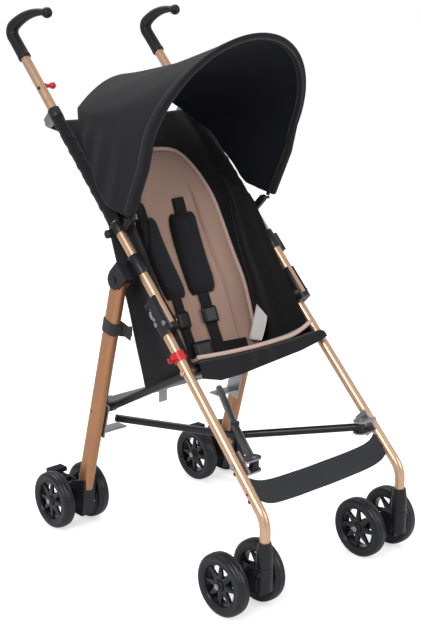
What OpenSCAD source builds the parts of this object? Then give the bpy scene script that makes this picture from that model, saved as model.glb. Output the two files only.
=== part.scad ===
// Umbrella stroller: two folding side frames, crossed bars, casters, sling seat and canopy.
// Millimetres, Z up, front towards -Y, floor at z = 0. The right side is drawn at -X, the left side is its mirror image.

/* [Display] */
// one node name, or all of them

/* [Side frame] */
// half distance between the two handle tubes
side_x = 171; // [160:1:185]
// outside diameter of handle and front leg tubes
tube_d = 19; // [16:0.5:22]
// wall of every tube
tube_wall = 1.4; // [1:0.1:2.5]
// slope of the handle tube above the floor, degrees
handle_pitch = 45.5; // [42:0.5:50]
// place of the foot of the handle tube, front to back
foot_y = -104.2; // [-120:1:-90]
// length of the handle tube
handle_len = 690; // [660:5:720]
// diameter of the soft grip sleeve
grip_d = 26; // [24:0.5:30]
// length of the straight grip sleeve
grip_len = 58; // [50:1:70]
// tight bend radius of the grip
grip_bend = 15; // [14.5:0.5:20]
// wide bend radius of the grip
grip_sweep = 158; // [140:2:180]
// diameter of the ball at the end of the grip
grip_ball = 21.5; // [18:0.5:26]
// turn of the grip hook towards the middle, degrees
grip_toe = 5; // [0:0.5:10]

/* [Front leg] */
// distance of the front leg axis behind the handle tube
leg_back = 22; // [21:0.5:26]
// length of the straight front leg down to its bend
leg_len = 429; // [420:1:440]
// radius of the bend above the caster
leg_bend = 50; // [40:1:60]
// length of the upright end of the front leg
leg_end = 60; // [50:1:66]
// sideways splay of the front leg, degrees
leg_splay = 1.02; // [0.5:0.02:1.5]

/* [Rear leg] */
// half distance between the rear legs
rear_x = 193; // [190:0.5:197]
// rear leg oval, front to back
rear_deep = 36; // [30:1:40]
// rear leg oval, side to side
rear_wide = 22; // [20:0.5:23]
// lean of the rear leg from the upright, degrees
rear_lean = 15.75; // [14:0.25:17]

/* [Wheels] */
// wheel diameter
wheel_d = 117.5; // [112:0.5:122]
// tyre width
tyre_w = 28; // [24:1:30]
// radial height of the tyre
tyre_h = 15.5; // [12:0.5:18]
// rim ring thickness
rim_t = 5; // [4:0.5:7]
// number of star points in the rim
spokes = 8; // [6:1:10]
// axle diameter
axle_d = 8; // [6:0.5:10]
// half distance between the twin front wheels
front_twin = 43.5; // [42:0.5:47]
// half distance between the twin rear wheels
rear_twin = 42.5; // [42:0.5:46]
// distance of the front axle behind the swivel axis
trail = 58.5; // [50:0.5:64]
// distance of the rear axle behind the line of the rear leg
axle_off = 39.625; // [30:0.125:48]

/* [Bars] */
// diameter of the seat side tubes
seat_d = 16; // [14:0.5:17]
// half distance between the seat side tubes
seat_x = 150; // [147:0.5:150]
// diameter of the lower crossed bars
bar_d = 15; // [12:0.5:16]
// half distance between the ends of the lower crossed bars
bar_x = 140; // [132:1:140]
// width of flat steel bars
flat_w = 18; // [14:1:20]
// thickness of flat steel bars and plates
flat_t = 3; // [2.5:0.25:3.5]

/* [Canopy] */
// half width of the canopy
hood_x = 187; // [187:0.5:195]
// straight side of the front bow
hood_side = 170; // [150:1:190]
// rise of the arch of the front bow
hood_rise = 205; // [190:1:220]
// forward lean of the front bow, degrees
hood_lean = 26; // [20:1:32]
// thickness of the canopy cloth
hood_t = 2; // [1.5:0.25:3]

/* [Soft goods] */
// half width of the sling back
sling_x = 158; // [150:0.5:158]
// thickness of the sling cloth
sling_t = 3; // [2:0.5:4]
// deepest hollow of the sling at the middle
sling_sag = 36; // [20:1:40]
// thickness of the padded liner
liner_t = 16; // [10:1:20]
// widest half width of the liner
liner_x = 148; // [110:1:150]
// thickness of the harness pads
pad_t = 12; // [8:1:16]
// thickness of webbing
web_t = 2; // [1.5:0.25:3]

/* [Fits] */
// radial play of a running pin
run_fit = 0.05; // [0.02:0.01:0.1]
// radial play of a fixed joint
fix_fit = 0.05; // [0.02:0.01:0.1]
// air between moving neighbours
air = 0.5; // [0.4:0.1:0.8]

/* [Hidden] */
$fn = 48;
eps = 0.02;
champagne = [0.80, 0.66, 0.55];
redgold = [0.72, 0.48, 0.38];
black = [0.07, 0.07, 0.08];
zinc = [0.75, 0.76, 0.78];
red = [0.75, 0.08, 0.08];
cloth = [0.13, 0.13, 0.15];
taupe = [0.62, 0.50, 0.44];
slate = [0.22, 0.23, 0.25];
tube_r = tube_d / 2;
bore_r = tube_r - tube_wall;
wheel_r = wheel_d / 2;
pin_r = 3;
rivet_r = 2.5;
head_r = 5;
head_t = 2;
big = 400;
// middle of the whole part, front to back, before it is moved over the origin
mid_y = 12;
cp = cos(handle_pitch);
sp = sin(handle_pitch);
// caster column: the socket stands on the fork, and the leg ends in it
socket_z = 102;
leg_seat = 3.919;
leg_top_u = 58;
// height of the foot of the handle tube, from the caster up the front leg
foot_z = socket_z + leg_seat + leg_end + (leg_bend + leg_back) * cp + (leg_len - leg_top_u) * sp;
// stations up the handle tube
grip_over = 48.5;
grip_u = handle_len - grip_over;
pivot_u = 116;
pivot_h = 41;
brace_u = 500;
brace_low_u = 300;
clip_u = 211;
clip_h = 22;
// collar wall round the tube
collar_t = 3;
collar_r = tube_r + fix_fit + collar_t;
// rear leg pivot in the handle frame
rear_u = 137.5;
rear_back = 42;
rear_y = foot_y + rear_u * cp + rear_back * sp;
rear_z = foot_z + rear_u * sp - rear_back * cp;
rear_pin_r = 4;
plate_gap = rear_wide / 2 + air;
// latch housing
latch_u = -6;
latch_h = 72;
latch_wall = 3;
latch_r = tube_r + latch_wall;
latch_rivet_u = 10.8;
latch_rivet2_u = 20;
slider_w = 7;
slider_lip = 2;
latch_slot_u = 4;
latch_slot_w = 15;
slider_l = 20;
slider_t = 2.4;
slider_u = 28;
slide_travel = 8;
// stations down the front leg
seat_t = 144;
xbr_up = 89;
foot_up = 34;
xbr_t = leg_len - xbr_up;
foot_t = leg_len - foot_up;
catch_t = 112;
catch_down = 120;
catch_u = handle_len - catch_down;
// caster
bend_a = 90 - handle_pitch;
caster_out = 0.5;
caster_x = side_x + (leg_len + leg_bend) * sin(leg_splay) + caster_out;
caster_y = foot_y + (leg_top_u - leg_len - leg_bend * sin(bend_a)) * cp + (leg_back + leg_bend * (1 - cos(bend_a))) * sp;
socket_h = 25;
neck_h = 20;
socket_r = 15;
neck_r = 11.8;
swivel_r = 5;
swivel_l = 36;
fork_z = 56;
fork_h = socket_z - air - fork_z;
fork_r = 15;
arm_share = 0.6;
arm_set = 8;
lock_out = 6;
lock_w = 12;
lock_h = 8;
lock_set = 14;
fork_w = 22;
hub_r = 12;
axle_end = 3;
cap_r = 5.5;
cap_t = 3;
leg_y0 = foot_y + leg_top_u * cp + leg_back * sp;
leg_z0 = foot_z + leg_top_u * sp - leg_back * cp;
// lower crossed bars: front pin off the front leg, and rear rest off the rear leg
bar_r = bar_d / 2;
bar_front_off = -5.835;
bar_front_up = -2.444;
bar_rear_off = 2.697;
bar_rear_drop = 312.634;
bar_fy = leg_y0 - xbr_t * cp + bar_front_off;
bar_fz = leg_z0 - xbr_t * sp + bar_front_up;
bar_ry = rear_y + bar_rear_drop * tan(rear_lean) + bar_rear_off;
bar_rz = rear_z - bar_rear_drop;
bar_eye_r = 9;
bar_boss = 1.6;
bar_rise = 1.1;
bar_lap = 3;
bar_sag1 = 8;
bar_sag2 = 27;
// seat tube from its front pin to its rear pin
seat_r = seat_d / 2;
seat_fy = leg_y0 - seat_t * cp;
seat_fz = leg_z0 - seat_t * sp;
seat_pin_x = side_x + seat_t * sin(leg_splay);
seat_len = 298;
seat_drop = 28.2;
seat_ry = seat_fy + seat_len * cos(seat_drop);
seat_rz = seat_fz - seat_len * sin(seat_drop);
seat_eye_r = 10;
seat_rear_r = 9;
// rear bracket and lock bar
rear_in_x = rear_x - rear_wide / 2;
lock_x = 147;
lock_drop = 281.634;
lock_off = 30.439;
lock_y = rear_y + lock_drop * tan(rear_lean) + lock_off;
lock_z = rear_z - lock_drop;
lock_lap = 10;
tab_drop = 24;
tab_w = 20;
tab_lap = 2;
// rear hub and brake
hub_w = 28;
// foot of the rear leg in the hub, and the rear axle behind it
rear_foot = 93.43;
rear_len = (rear_z - rear_foot) / cos(rear_lean);
rear_axle_y = rear_y + (rear_z - wheel_r) * tan(rear_lean) + axle_off;
pedal_back = 25.8;
pedal_up = 25.25;
pad_back = 52.8;
pad_up = 42.25;
pedal_y = rear_axle_y + pedal_back;
pedal_z = wheel_r + pedal_up;
pad_y = rear_axle_y + pad_back;
pad_z = wheel_r + pad_up;
pad_w = 36;
pad_d = 24;
pad_h = 8;
// canopy pivot in the handle frame
hood_u = 212;
hood_back = -44;
hood_y = foot_y + hood_u * cp + hood_back * sp;
hood_z = foot_z + hood_u * sp - hood_back * cp;
bow_r = 4;
arch_back = 346.2;
arch_up = 359;
rear_arch_y = foot_y + arch_back;
rear_arch_z = foot_z + arch_up;
rear_arch_side = 6;
rear_arch_rise = 61;
// how much narrower the rear arch is, and how late the sides turn in
hood_in_share = 0.348;
hood_in_power = 2.5;

// a frame on the right handle tube: Z up the tube, Y behind it
module on_handle(u = 0, back = 0) translate([-side_x, foot_y, foot_z]) rotate([-bend_a, 0, 0]) translate([0, back, u]) children();
// a frame down the right front leg
module on_leg(t = 0) on_handle(leg_top_u, leg_back) rotate([0, leg_splay, 0]) translate([0, 0, -t]) children();
// a frame down the right rear leg
module on_rear(s = 0) translate([-rear_x, rear_y, rear_z]) rotate([rear_lean, 0, 0]) translate([0, 0, -s]) children();
module along_x(r, len) rotate([0, 90, 0]) cylinder(r = r, h = len, center = true);
module along_y(r, len) rotate([90, 0, 0]) cylinder(r = r, h = len, center = true);
module pipe(od, id, h) difference() { cylinder(d = od, h = h); translate([0, 0, -eps]) cylinder(d = id, h = h + 2 * eps); }
// a rivet across X with a head on each end
module rivet(len) { along_x(rivet_r, len + head_t); for (e = [-1, 1]) translate([e * (len + head_t) / 2, 0, 0]) along_x(head_r, head_t); }
module right() translate([0, -mid_y, 0]) children();
module left() right() mirror([1, 0, 0]) children();
module oval(deep, wide) { for (e = [-1, 1]) translate([0, e * (deep - wide) / 2]) circle(d = wide); square([wide, deep - wide], center = true); }
// a round bar between two points
module rod(a, b, r) { v = b - a; l = norm(v); translate(a) rotate([0, acos(v[2] / l), atan2(v[1], v[0])]) cylinder(r = r, h = l); }
// closed skin over two grids of points, outer and inner, each rows by cols
module skin(top, bottom) {
  rows = len(top); cols = len(top[0]); n = rows * cols;
  pts = concat([for (r = top) for (p = r) p], [for (r = bottom) for (p = r) p]);
  function at(i, j) = i * cols + j;
  faces = concat(
    [for (i = [0 : rows - 2]) for (j = [0 : cols - 2]) [at(i, j), at(i, j + 1), at(i + 1, j + 1)]],
    [for (i = [0 : rows - 2]) for (j = [0 : cols - 2]) [at(i, j), at(i + 1, j + 1), at(i + 1, j)]],
    [for (i = [0 : rows - 2]) for (j = [0 : cols - 2]) [n + at(i, j), n + at(i + 1, j + 1), n + at(i, j + 1)]],
    [for (i = [0 : rows - 2]) for (j = [0 : cols - 2]) [n + at(i, j), n + at(i + 1, j), n + at(i + 1, j + 1)]],
    [for (j = [0 : cols - 2]) each [[at(0, j + 1), at(0, j), n + at(0, j)], [at(0, j + 1), n + at(0, j), n + at(0, j + 1)]]],
    [for (j = [0 : cols - 2]) each [[at(rows - 1, j), at(rows - 1, j + 1), n + at(rows - 1, j + 1)], [at(rows - 1, j), n + at(rows - 1, j + 1), n + at(rows - 1, j)]]],
    [for (i = [0 : rows - 2]) each [[at(i, 0), at(i + 1, 0), n + at(i + 1, 0)], [at(i, 0), n + at(i + 1, 0), n + at(i, 0)]]],
    [for (i = [0 : rows - 2]) each [[at(i + 1, cols - 1), at(i, cols - 1), n + at(i, cols - 1)], [at(i + 1, cols - 1), n + at(i, cols - 1), n + at(i + 1, cols - 1)]]]);
  polyhedron(points = pts, faces = faces, convexity = 6);
}
// round tube of changing radius through points that lie in one plane with the given normal
module swept(path, radii, sides, normal) {
  n = len(path);
  function dir(i) = let (a = path[max(i - 1, 0)], b = path[min(i + 1, n - 1)]) (b - a) / norm(b - a);
  pts = concat([for (i = [0 : n - 1]) for (k = [0 : sides - 1])
    let (d = dir(i), a = 360 * k / sides) path[i] + radii[i] * (cos(a) * cross(normal, d) + sin(a) * normal)]);
  faces = concat([for (i = [0 : n - 2]) for (k = [0 : sides - 1]) let (k2 = (k + 1) % sides) each
    [[i * sides + k, (i + 1) * sides + k, (i + 1) * sides + k2], [i * sides + k, (i + 1) * sides + k2, i * sides + k2]]],
    [[for (k = [0 : sides - 1]) k]], [[for (k = [sides - 1 : -1 : 0]) (n - 1) * sides + k]]);
  polyhedron(points = pts, faces = faces, convexity = 4);
}

module handle_tube() color(champagne) on_handle() difference() {
  pipe(tube_d, 2 * bore_r, handle_len);
  translate([0, 0, latch_rivet_u]) along_x(rivet_r + fix_fit, big);
}

grip_lap = 1;
hook_steps = 16;
hook_a1 = 100;
hook_a2 = 40;
hook_r0 = 12.4;
hook_r1 = 5.6;
function hook_pt(k) = let (h = hook_steps / 2) k <= h
  ? let (a = hook_a1 * k / h) [0, -grip_bend * (1 - cos(a)), grip_bend * sin(a)]
  : let (a = hook_a2 * (k - h) / h) [0, -grip_bend * (1 - cos(hook_a1)), grip_bend * sin(hook_a1)]
    + grip_sweep * [0, -(cos(hook_a1) - cos(hook_a1 + a)), sin(hook_a1 + a) - sin(hook_a1)];
module grip() color(black) on_handle(grip_u) rotate([0, 0, grip_toe]) {
  difference() {
    cylinder(d = grip_d, h = grip_len);
    translate([0, 0, -eps]) cylinder(r = tube_r + fix_fit, h = handle_len - grip_u + fix_fit);
  }
  translate([0, 0, grip_len - grip_lap]) swept([for (k = [0 : hook_steps]) hook_pt(k)],
    [for (k = [0 : hook_steps]) hook_r0 + (hook_r1 - hook_r0) * pow(max(0, k - hook_steps / 4) / (hook_steps * 3 / 4), 1.3)], 20, [1, 0, 0]);
  translate([0, 0, grip_len - grip_lap]) translate(hook_pt(hook_steps)) sphere(d = grip_ball);
}

web_set = 2;
head_over = 3;
big_head_r = rear_pin_r + head_over;
plate_in = -(rear_x - side_x) + plate_gap;
plate_out = -(rear_x - side_x) - plate_gap;
module clevis_outline(x, back0) translate([x, 0, 0]) rotate([90, 0, 90]) linear_extrude(flat_t) {
  translate([rear_back, rear_u]) circle(r = rear_deep / 2);
  translate([back0, pivot_u]) square([rear_back - back0, pivot_h]);
}
module pivot_bracket() color(black) {
  on_handle() {
    difference() {
      union() {
        translate([0, 0, pivot_u]) cylinder(r = collar_r, h = pivot_h);
        clevis_outline(plate_in, 0);
        clevis_outline(plate_out - flat_t, tube_r);
        translate([plate_out - flat_t, tube_r, pivot_u]) cube([-plate_out + flat_t, rear_back - rear_deep / 2 - web_set - tube_r, pivot_h]);
      }
      translate([0, 0, pivot_u - eps]) cylinder(r = tube_r + fix_fit, h = pivot_h + 2 * eps);
      translate([-(rear_x - side_x), rear_back, rear_u]) along_x(rear_pin_r + fix_fit, 4 * plate_gap);
    }
  }
  color(zinc) on_handle(rear_u, rear_back) translate([-(rear_x - side_x), 0, 0]) {
    along_x(rear_pin_r, 2 * (plate_gap + flat_t + head_t));
    for (e = [-1, 1]) translate([e * (plate_gap + flat_t + fix_fit + head_t / 2), 0, 0]) along_x(big_head_r, head_t);
  }
}

brace_off = 20.5;
brace_lay = [tube_r + brace_off, tube_r + brace_off + flat_t + air];
block_w = 20;
module brace_bracket(lay) {
  color(black) on_handle(brace_u - block_w / 2) pipe(tube_d + 2 * collar_t, tube_d + 2 * fix_fit, block_w);
  color(zinc) on_handle(brace_u) {
    difference() {
      translate([-block_w / 2, 0, -block_w / 2]) cube([block_w, brace_lay[lay] - air, block_w]);
      translate([0, 0, -block_w]) cylinder(r = tube_r + collar_t + fix_fit, h = 2 * block_w);
    }
    translate([0, (tube_r + collar_t + brace_lay[lay] + flat_t + air + head_t) / 2, 0]) along_y(pin_r, brace_lay[lay] + flat_t + air + head_t - tube_r - collar_t);
    translate([0, brace_lay[lay] + flat_t + air + head_t / 2, 0]) along_y(head_r, head_t);
  }
}

brace_short = 32;
brace_ux = 2 * side_x - brace_short;
brace_l = sqrt(brace_ux * brace_ux + (brace_u - brace_low_u) * (brace_u - brace_low_u));
brace_a = atan2(brace_ux, brace_u - brace_low_u);
// flat bar hung from the upper bracket, turned towards the other side
module back_brace(lay) color(black) on_handle(brace_u, brace_lay[lay]) rotate([0, -brace_a, 0]) rotate([-90, 0, 0]) difference() {
  linear_extrude(flat_t) {
    circle(d = flat_w);
    translate([-flat_w / 2, 0]) square([flat_w, brace_l]);
    translate([0, brace_l]) circle(d = flat_w);
  }
  translate([0, 0, -eps]) cylinder(r = pin_r + run_fit, h = flat_t + 2 * eps);
}

clip_pin_x = hood_x - side_x;
knob_back = 15;
arm_in = 7;
arm_out = -1;
boss_r = 7;
knob_r = 8;
knob_w = 8;
knob_out = 3;
stem_w = 8;
stem_h = 14;
pin_over = 1;
module canopy_clip() color(black) on_handle() {
  difference() {
    union() {
      translate([0, 0, clip_u]) cylinder(r = collar_r, h = clip_h);
      translate([arm_out, hood_back, hood_u - boss_r]) cube([arm_in - arm_out, -hood_back, 2 * boss_r]);
      translate([(arm_in + arm_out) / 2, hood_back, hood_u]) along_x(boss_r, arm_in - arm_out);
      translate([arm_out - (clip_pin_x - bow_r) / 2, hood_back, hood_u]) along_x(pin_r, clip_pin_x - bow_r + pin_over);
      translate([-collar_r, 0, clip_u + (clip_h - stem_h) / 2]) cube([stem_w, knob_back, stem_h]);
      translate([-collar_r - knob_out, knob_back, clip_u + clip_h / 2]) along_x(knob_r, knob_w);
    }
    translate([0, 0, clip_u - clip_h]) cylinder(r = tube_r + fix_fit, h = 3 * clip_h);
  }
}

module latch_outline() { circle(r = latch_r); translate([0, leg_back]) circle(r = latch_r); translate([-latch_r, 0]) square([2 * latch_r, leg_back]); }
module latch_housing() {
  color(black) difference() {
    on_handle(latch_u) linear_extrude(latch_h) latch_outline();
    on_handle() cylinder(r = tube_r + fix_fit, h = big);
    on_leg(big) cylinder(r = tube_r + fix_fit, h = big);
    on_handle(latch_slot_u) translate([-latch_slot_w / 2, -big, 0]) cube([latch_slot_w, big, latch_h]);
    on_handle(slider_u - air, leg_back - slider_w / 2 - air) translate([-latch_r - slider_lip, 0, 0]) cube([slider_t + slider_lip + air, slider_w + 2 * air, slider_l + slide_travel + 2 * air]);
    on_handle(latch_rivet_u) along_x(rivet_r + fix_fit, big);
    on_handle(latch_rivet2_u, leg_back) along_x(rivet_r + fix_fit, big);
  }
  color(zinc) on_handle(latch_rivet_u) rivet(2 * latch_r + fix_fit);
  color(zinc) on_handle(latch_rivet2_u, leg_back) rivet(2 * latch_r + fix_fit);
}
module latch_slider() color(zinc) on_handle(slider_u, leg_back - slider_w / 2) {
  translate([-latch_r, 0, 0]) cube([slider_t, slider_w, slider_l]);
  translate([-latch_r - slider_lip, 0, slider_l / 4]) cube([slider_lip + eps, slider_w, slider_l / 2]);
}

module leg_bore(r) {
  translate([0, 0, -leg_len]) cylinder(r = r, h = leg_len);
  translate([0, leg_bend, -leg_len]) rotate([90, 0, 90]) rotate([0, 0, 180]) rotate_extrude(angle = bend_a) translate([leg_bend, 0]) circle(r = r);
  translate([0, leg_bend, -leg_len]) rotate([bend_a, 0, 0]) translate([0, -leg_bend, -leg_end]) cylinder(r = r, h = leg_end);
}
module front_leg() {
  color(champagne) difference() {
    on_leg() leg_bore(tube_r);
    on_leg() leg_bore(bore_r);
    on_handle(latch_rivet2_u, leg_back) along_x(rivet_r + fix_fit, big);
    translate([0, seat_fy, seat_fz]) along_x(pin_r + fix_fit, 2 * big);
    on_leg(xbr_t) along_x(rivet_r + fix_fit, big);
    on_leg(foot_t) along_x(rivet_r + fix_fit, big);
  }
  // seat tube pin with its spacer
  color(zinc) translate([-seat_pin_x, seat_fy, seat_fz]) {
    translate([(seat_pin_x - seat_x) / 2, 0, 0]) along_x(pin_r, seat_pin_x - seat_x + 2 * tube_r + 2 * head_t);
    translate([-tube_r - head_t, 0, 0]) along_x(head_r, head_t);
    translate([(tube_r + seat_pin_x - seat_x - seat_r) / 2 + air / 2, 0, 0]) along_x(head_r, seat_pin_x - seat_x - seat_r - tube_r - 2 * air);
  }
}

ear_w = 26;
ear_back = 28;
xplate_fore = 11;
xplate_deep = 30;
xplate_h = 44;
ear_air = 1;
ear_gap = bar_eye_r + ear_air;
module front_x_bracket() {
  color(zinc) {
    difference() {
      union() {
        on_leg(xbr_t) translate([tube_r + fix_fit, -xplate_fore, -xplate_h / 2]) cube([flat_t, xplate_deep, xplate_h]);
        for (z = [bar_fz - ear_gap - flat_t, bar_fz + ear_gap]) translate([-bar_x, bar_fy, z]) {
          cylinder(d = ear_w, h = flat_t);
          translate([-ear_back, -ear_w / 2, 0]) cube([ear_back, ear_w, flat_t]);
        }
      }
      on_leg(xbr_t) along_x(rivet_r + fix_fit, big);
      on_leg(big) cylinder(r = tube_r + fix_fit, h = big);
      translate([-bar_x, bar_fy, bar_fz]) cylinder(r = pin_r + fix_fit, h = big, center = true);
    }
    translate([-bar_x, bar_fy, bar_fz - ear_gap - flat_t - head_t]) cylinder(r = pin_r, h = 2 * (ear_gap + flat_t + head_t));
    for (z = [bar_fz - ear_gap - flat_t - head_t - fix_fit, bar_fz + ear_gap + flat_t + fix_fit]) translate([-bar_x, bar_fy, z]) cylinder(r = head_r, h = head_t);
    on_leg(xbr_t) translate([flat_t / 2, 0, 0]) rivet(tube_d + flat_t + 3 * fix_fit);
  }
}

bar_mid_y = (bar_fy + bar_ry) / 2;
bar_mid_z = (bar_fz + bar_rz) / 2;
module lower_bar(sag) color(black) {
  m = [0, bar_mid_y, bar_mid_z - sag];
  f = [-bar_x, bar_fy, bar_fz];
  r = [bar_x, bar_ry, bar_rz];
  fm = (m - f) / norm(m - f);
  difference() {
    union() {
      rod(f + (bar_eye_r - bar_lap) * fm, m, bar_r);
      translate(m) cylinder(r = bar_r + bar_boss, h = 2 * (bar_r + bar_rise), center = true);
      rod(m, r, bar_r);
      translate(f) cylinder(r = bar_eye_r, h = 2 * bar_eye_r, center = true);
    }
    translate(f) cylinder(r = pin_r + run_fit, h = big, center = true);
  }
}

module caster_socket() color(black) difference() {
  translate([-caster_x, caster_y, 0]) {
    translate([0, 0, socket_z]) cylinder(r = socket_r, h = socket_h);
    translate([0, 0, socket_z + socket_h - eps]) cylinder(r1 = socket_r, r2 = neck_r, h = neck_h);
    translate([0, 0, socket_z - swivel_l]) cylinder(r = swivel_r, h = swivel_l + eps);
  }
  on_leg() leg_bore(tube_r + fix_fit);
}
module caster_fork() color(black) translate([-caster_x, caster_y, 0]) difference() {
  union() {
    translate([0, 0, fork_z]) cylinder(r = fork_r, h = fork_h);
    translate([-fork_w / 2, 0, wheel_r - hub_r]) cube([fork_w, trail, 2 * hub_r]);
    translate([-fork_w / 2, 0, wheel_r]) cube([fork_w, trail * arm_share, fork_z + fork_h - wheel_r - arm_set]);
    translate([0, trail, wheel_r]) along_x(hub_r, 2 * (front_twin - tyre_w / 2 - air));
    // swivel lock tab
    translate([-fork_r - lock_out, -lock_w / 2, fork_z + fork_h - lock_set]) cube([lock_w, lock_w, lock_h]);
  }
  translate([0, 0, socket_z - swivel_l - air]) cylinder(r = swivel_r + run_fit, h = big);
  translate([0, trail, wheel_r]) along_x(axle_d / 2 + fix_fit, big);
}
module axle(twin) color(zinc) {
  along_x(axle_d / 2, 2 * (twin + tyre_w / 2 + axle_end));
  for (e = [-1, 1]) translate([e * (twin + tyre_w / 2 + air + cap_t / 2), 0, 0]) along_x(cap_r, cap_t);
}
module front_axle() translate([-caster_x, caster_y + trail, wheel_r]) axle(front_twin);
module rear_axle() translate([-rear_x, rear_axle_y, wheel_r]) axle(rear_twin);

rim_r = wheel_r - tyre_h;
round_r = 8;
star_t = 16;
star_tip = 3.2;
star_valley = 15;
rim_set = 1;
star_r = rim_r - rim_set;
wheel_hub_r = 11;
module wheel() rotate([0, 90, 0]) {
  // tyre
  color(slate) rotate_extrude() difference() {
    union() {
      translate([rim_r + eps, -tyre_w / 2]) square([tyre_h - round_r - eps, tyre_w]);
      translate([wheel_r - round_r - eps, -tyre_w / 2 + round_r]) square([round_r + eps, tyre_w - 2 * round_r]);
      for (e = [-1, 1]) translate([wheel_r - round_r, e * (tyre_w / 2 - round_r)]) circle(r = round_r);
    }
    translate([0, -tyre_w]) square([rim_r + fix_fit, 2 * tyre_w]);
  }
  // rim ring, star and hub
  color(black) difference() {
    union() {
      rotate_extrude() translate([rim_r - rim_t, -tyre_w / 2 + rim_set]) square([rim_t, tyre_w - 2 * rim_set]);
      translate([0, 0, -star_t / 2]) linear_extrude(star_t) polygon([for (i = [0 : spokes - 1]) let (a = 360 * i / spokes, b = a + 180 / spokes, q = asin(star_tip / star_r)) each
        [star_r * [cos(a - q), sin(a - q)], star_r * [cos(a + q), sin(a + q)], star_valley * [cos(b), sin(b)]]]);
      cylinder(r = wheel_hub_r, h = tyre_w, center = true);
    }
    cylinder(r = axle_d / 2 + run_fit, h = big, center = true);
  }
}
module front_wheel(e) translate([-caster_x + e * front_twin, caster_y + trail, wheel_r]) wheel();
module rear_wheel(e) translate([-rear_x + e * rear_twin, rear_axle_y, wheel_r]) wheel();

module rear_leg() color(redgold) on_rear() difference() {
  union() {
    translate([0, 0, -rear_len]) linear_extrude(rear_len) oval(rear_deep, rear_wide);
    along_x(rear_deep / 2, rear_wide);
  }
  translate([0, 0, -rear_len - eps]) linear_extrude(rear_len - rear_deep / 2) oval(rear_deep - 2 * tube_wall, rear_wide - 2 * tube_wall);
  along_x(rear_pin_r + run_fit, big);
}

rb_s = (rear_z - lock_z) / cos(rear_lean);
rest_drop = 8;
ear_reach = 40;
ear_h = 24;
ear_set = 0.5;
ear_over = 9;
ear_thin = 1;
rplate_drop = 14;
rplate_low = 44;
rplate_h = 74;
rest_w = 15;
lock_pin_l = 16;
lock_pin_y = 2;
spacer_l = 10;
pin_short = 2;
module rear_bracket(drop) {
  color(zinc) {
    difference() {
      union() {
        // plate on the inner face of the leg
        on_rear(rb_s + rplate_drop) translate([rear_wide / 2 + fix_fit, -rear_deep / 2, -rplate_low]) cube([flat_t, rear_deep, rplate_h]);
        // rest under the end of the crossed bar
        translate([-rear_in_x + fix_fit + ear_set, bar_ry - rest_w, bar_rz - bar_r - air - flat_t - drop]) cube([rear_in_x - bar_x + rest_w, 2 * rest_w, flat_t]);
        // upright ear of the lock bar, on a strap from the plate
        translate([-rear_in_x + fix_fit + ear_set, lock_y - ear_reach, lock_z - ear_h / 2]) cube([flat_t - ear_thin, ear_reach, ear_h]);
        translate([-rear_in_x + fix_fit + ear_set, lock_y - flat_t, lock_z - ear_h / 2 - ear_set]) cube([rear_in_x - lock_x + ear_over, flat_t, ear_h + 2 * ear_set]);
      }
      translate([-lock_x, lock_y, lock_z]) along_y(pin_r + fix_fit, big);
      translate([0, seat_ry, seat_rz]) along_x(pin_r + fix_fit, big);
    }
    translate([-lock_x, lock_y + lock_pin_y, lock_z]) along_y(pin_r, lock_pin_l);
    translate([-lock_x, lock_y - flat_t - fix_fit - head_t / 2, lock_z]) along_y(head_r, head_t);
    translate([-lock_x, lock_y + 2 * flat_t + 3 * air + head_t / 2, lock_z]) along_y(head_r, head_t);
    // rear pin of the seat tube
    translate([-(rear_in_x + seat_x - seat_r) / 2, seat_ry, seat_rz]) along_x(pin_r, rear_in_x - seat_x + seat_r - pin_short);
    translate([-rear_in_x + flat_t + 2 * fix_fit + spacer_l / 2, seat_ry, seat_rz]) along_x(head_r, spacer_l);
  }
}
lock_l = lock_x + lock_lap;
module lock_bar(lay) color(zinc) {
  translate([-lock_x, lock_y + air + lay * (flat_t + air), lock_z]) rotate([-90, 0, 0]) difference() {
    linear_extrude(flat_t) {
      circle(d = flat_w);
      translate([0, -flat_w / 2]) square([lock_l, flat_w]);
      translate([lock_l, 0]) circle(d = flat_w);
    }
    translate([0, 0, -eps]) cylinder(r = pin_r + run_fit, h = flat_t + 2 * eps);
  }
  // release tab at the middle
  if (lay == 0) translate([-tab_w / 2, lock_y + air, lock_z - flat_w / 2 - tab_drop]) cube([tab_w, flat_t, tab_drop + tab_lap]);
}

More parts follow.
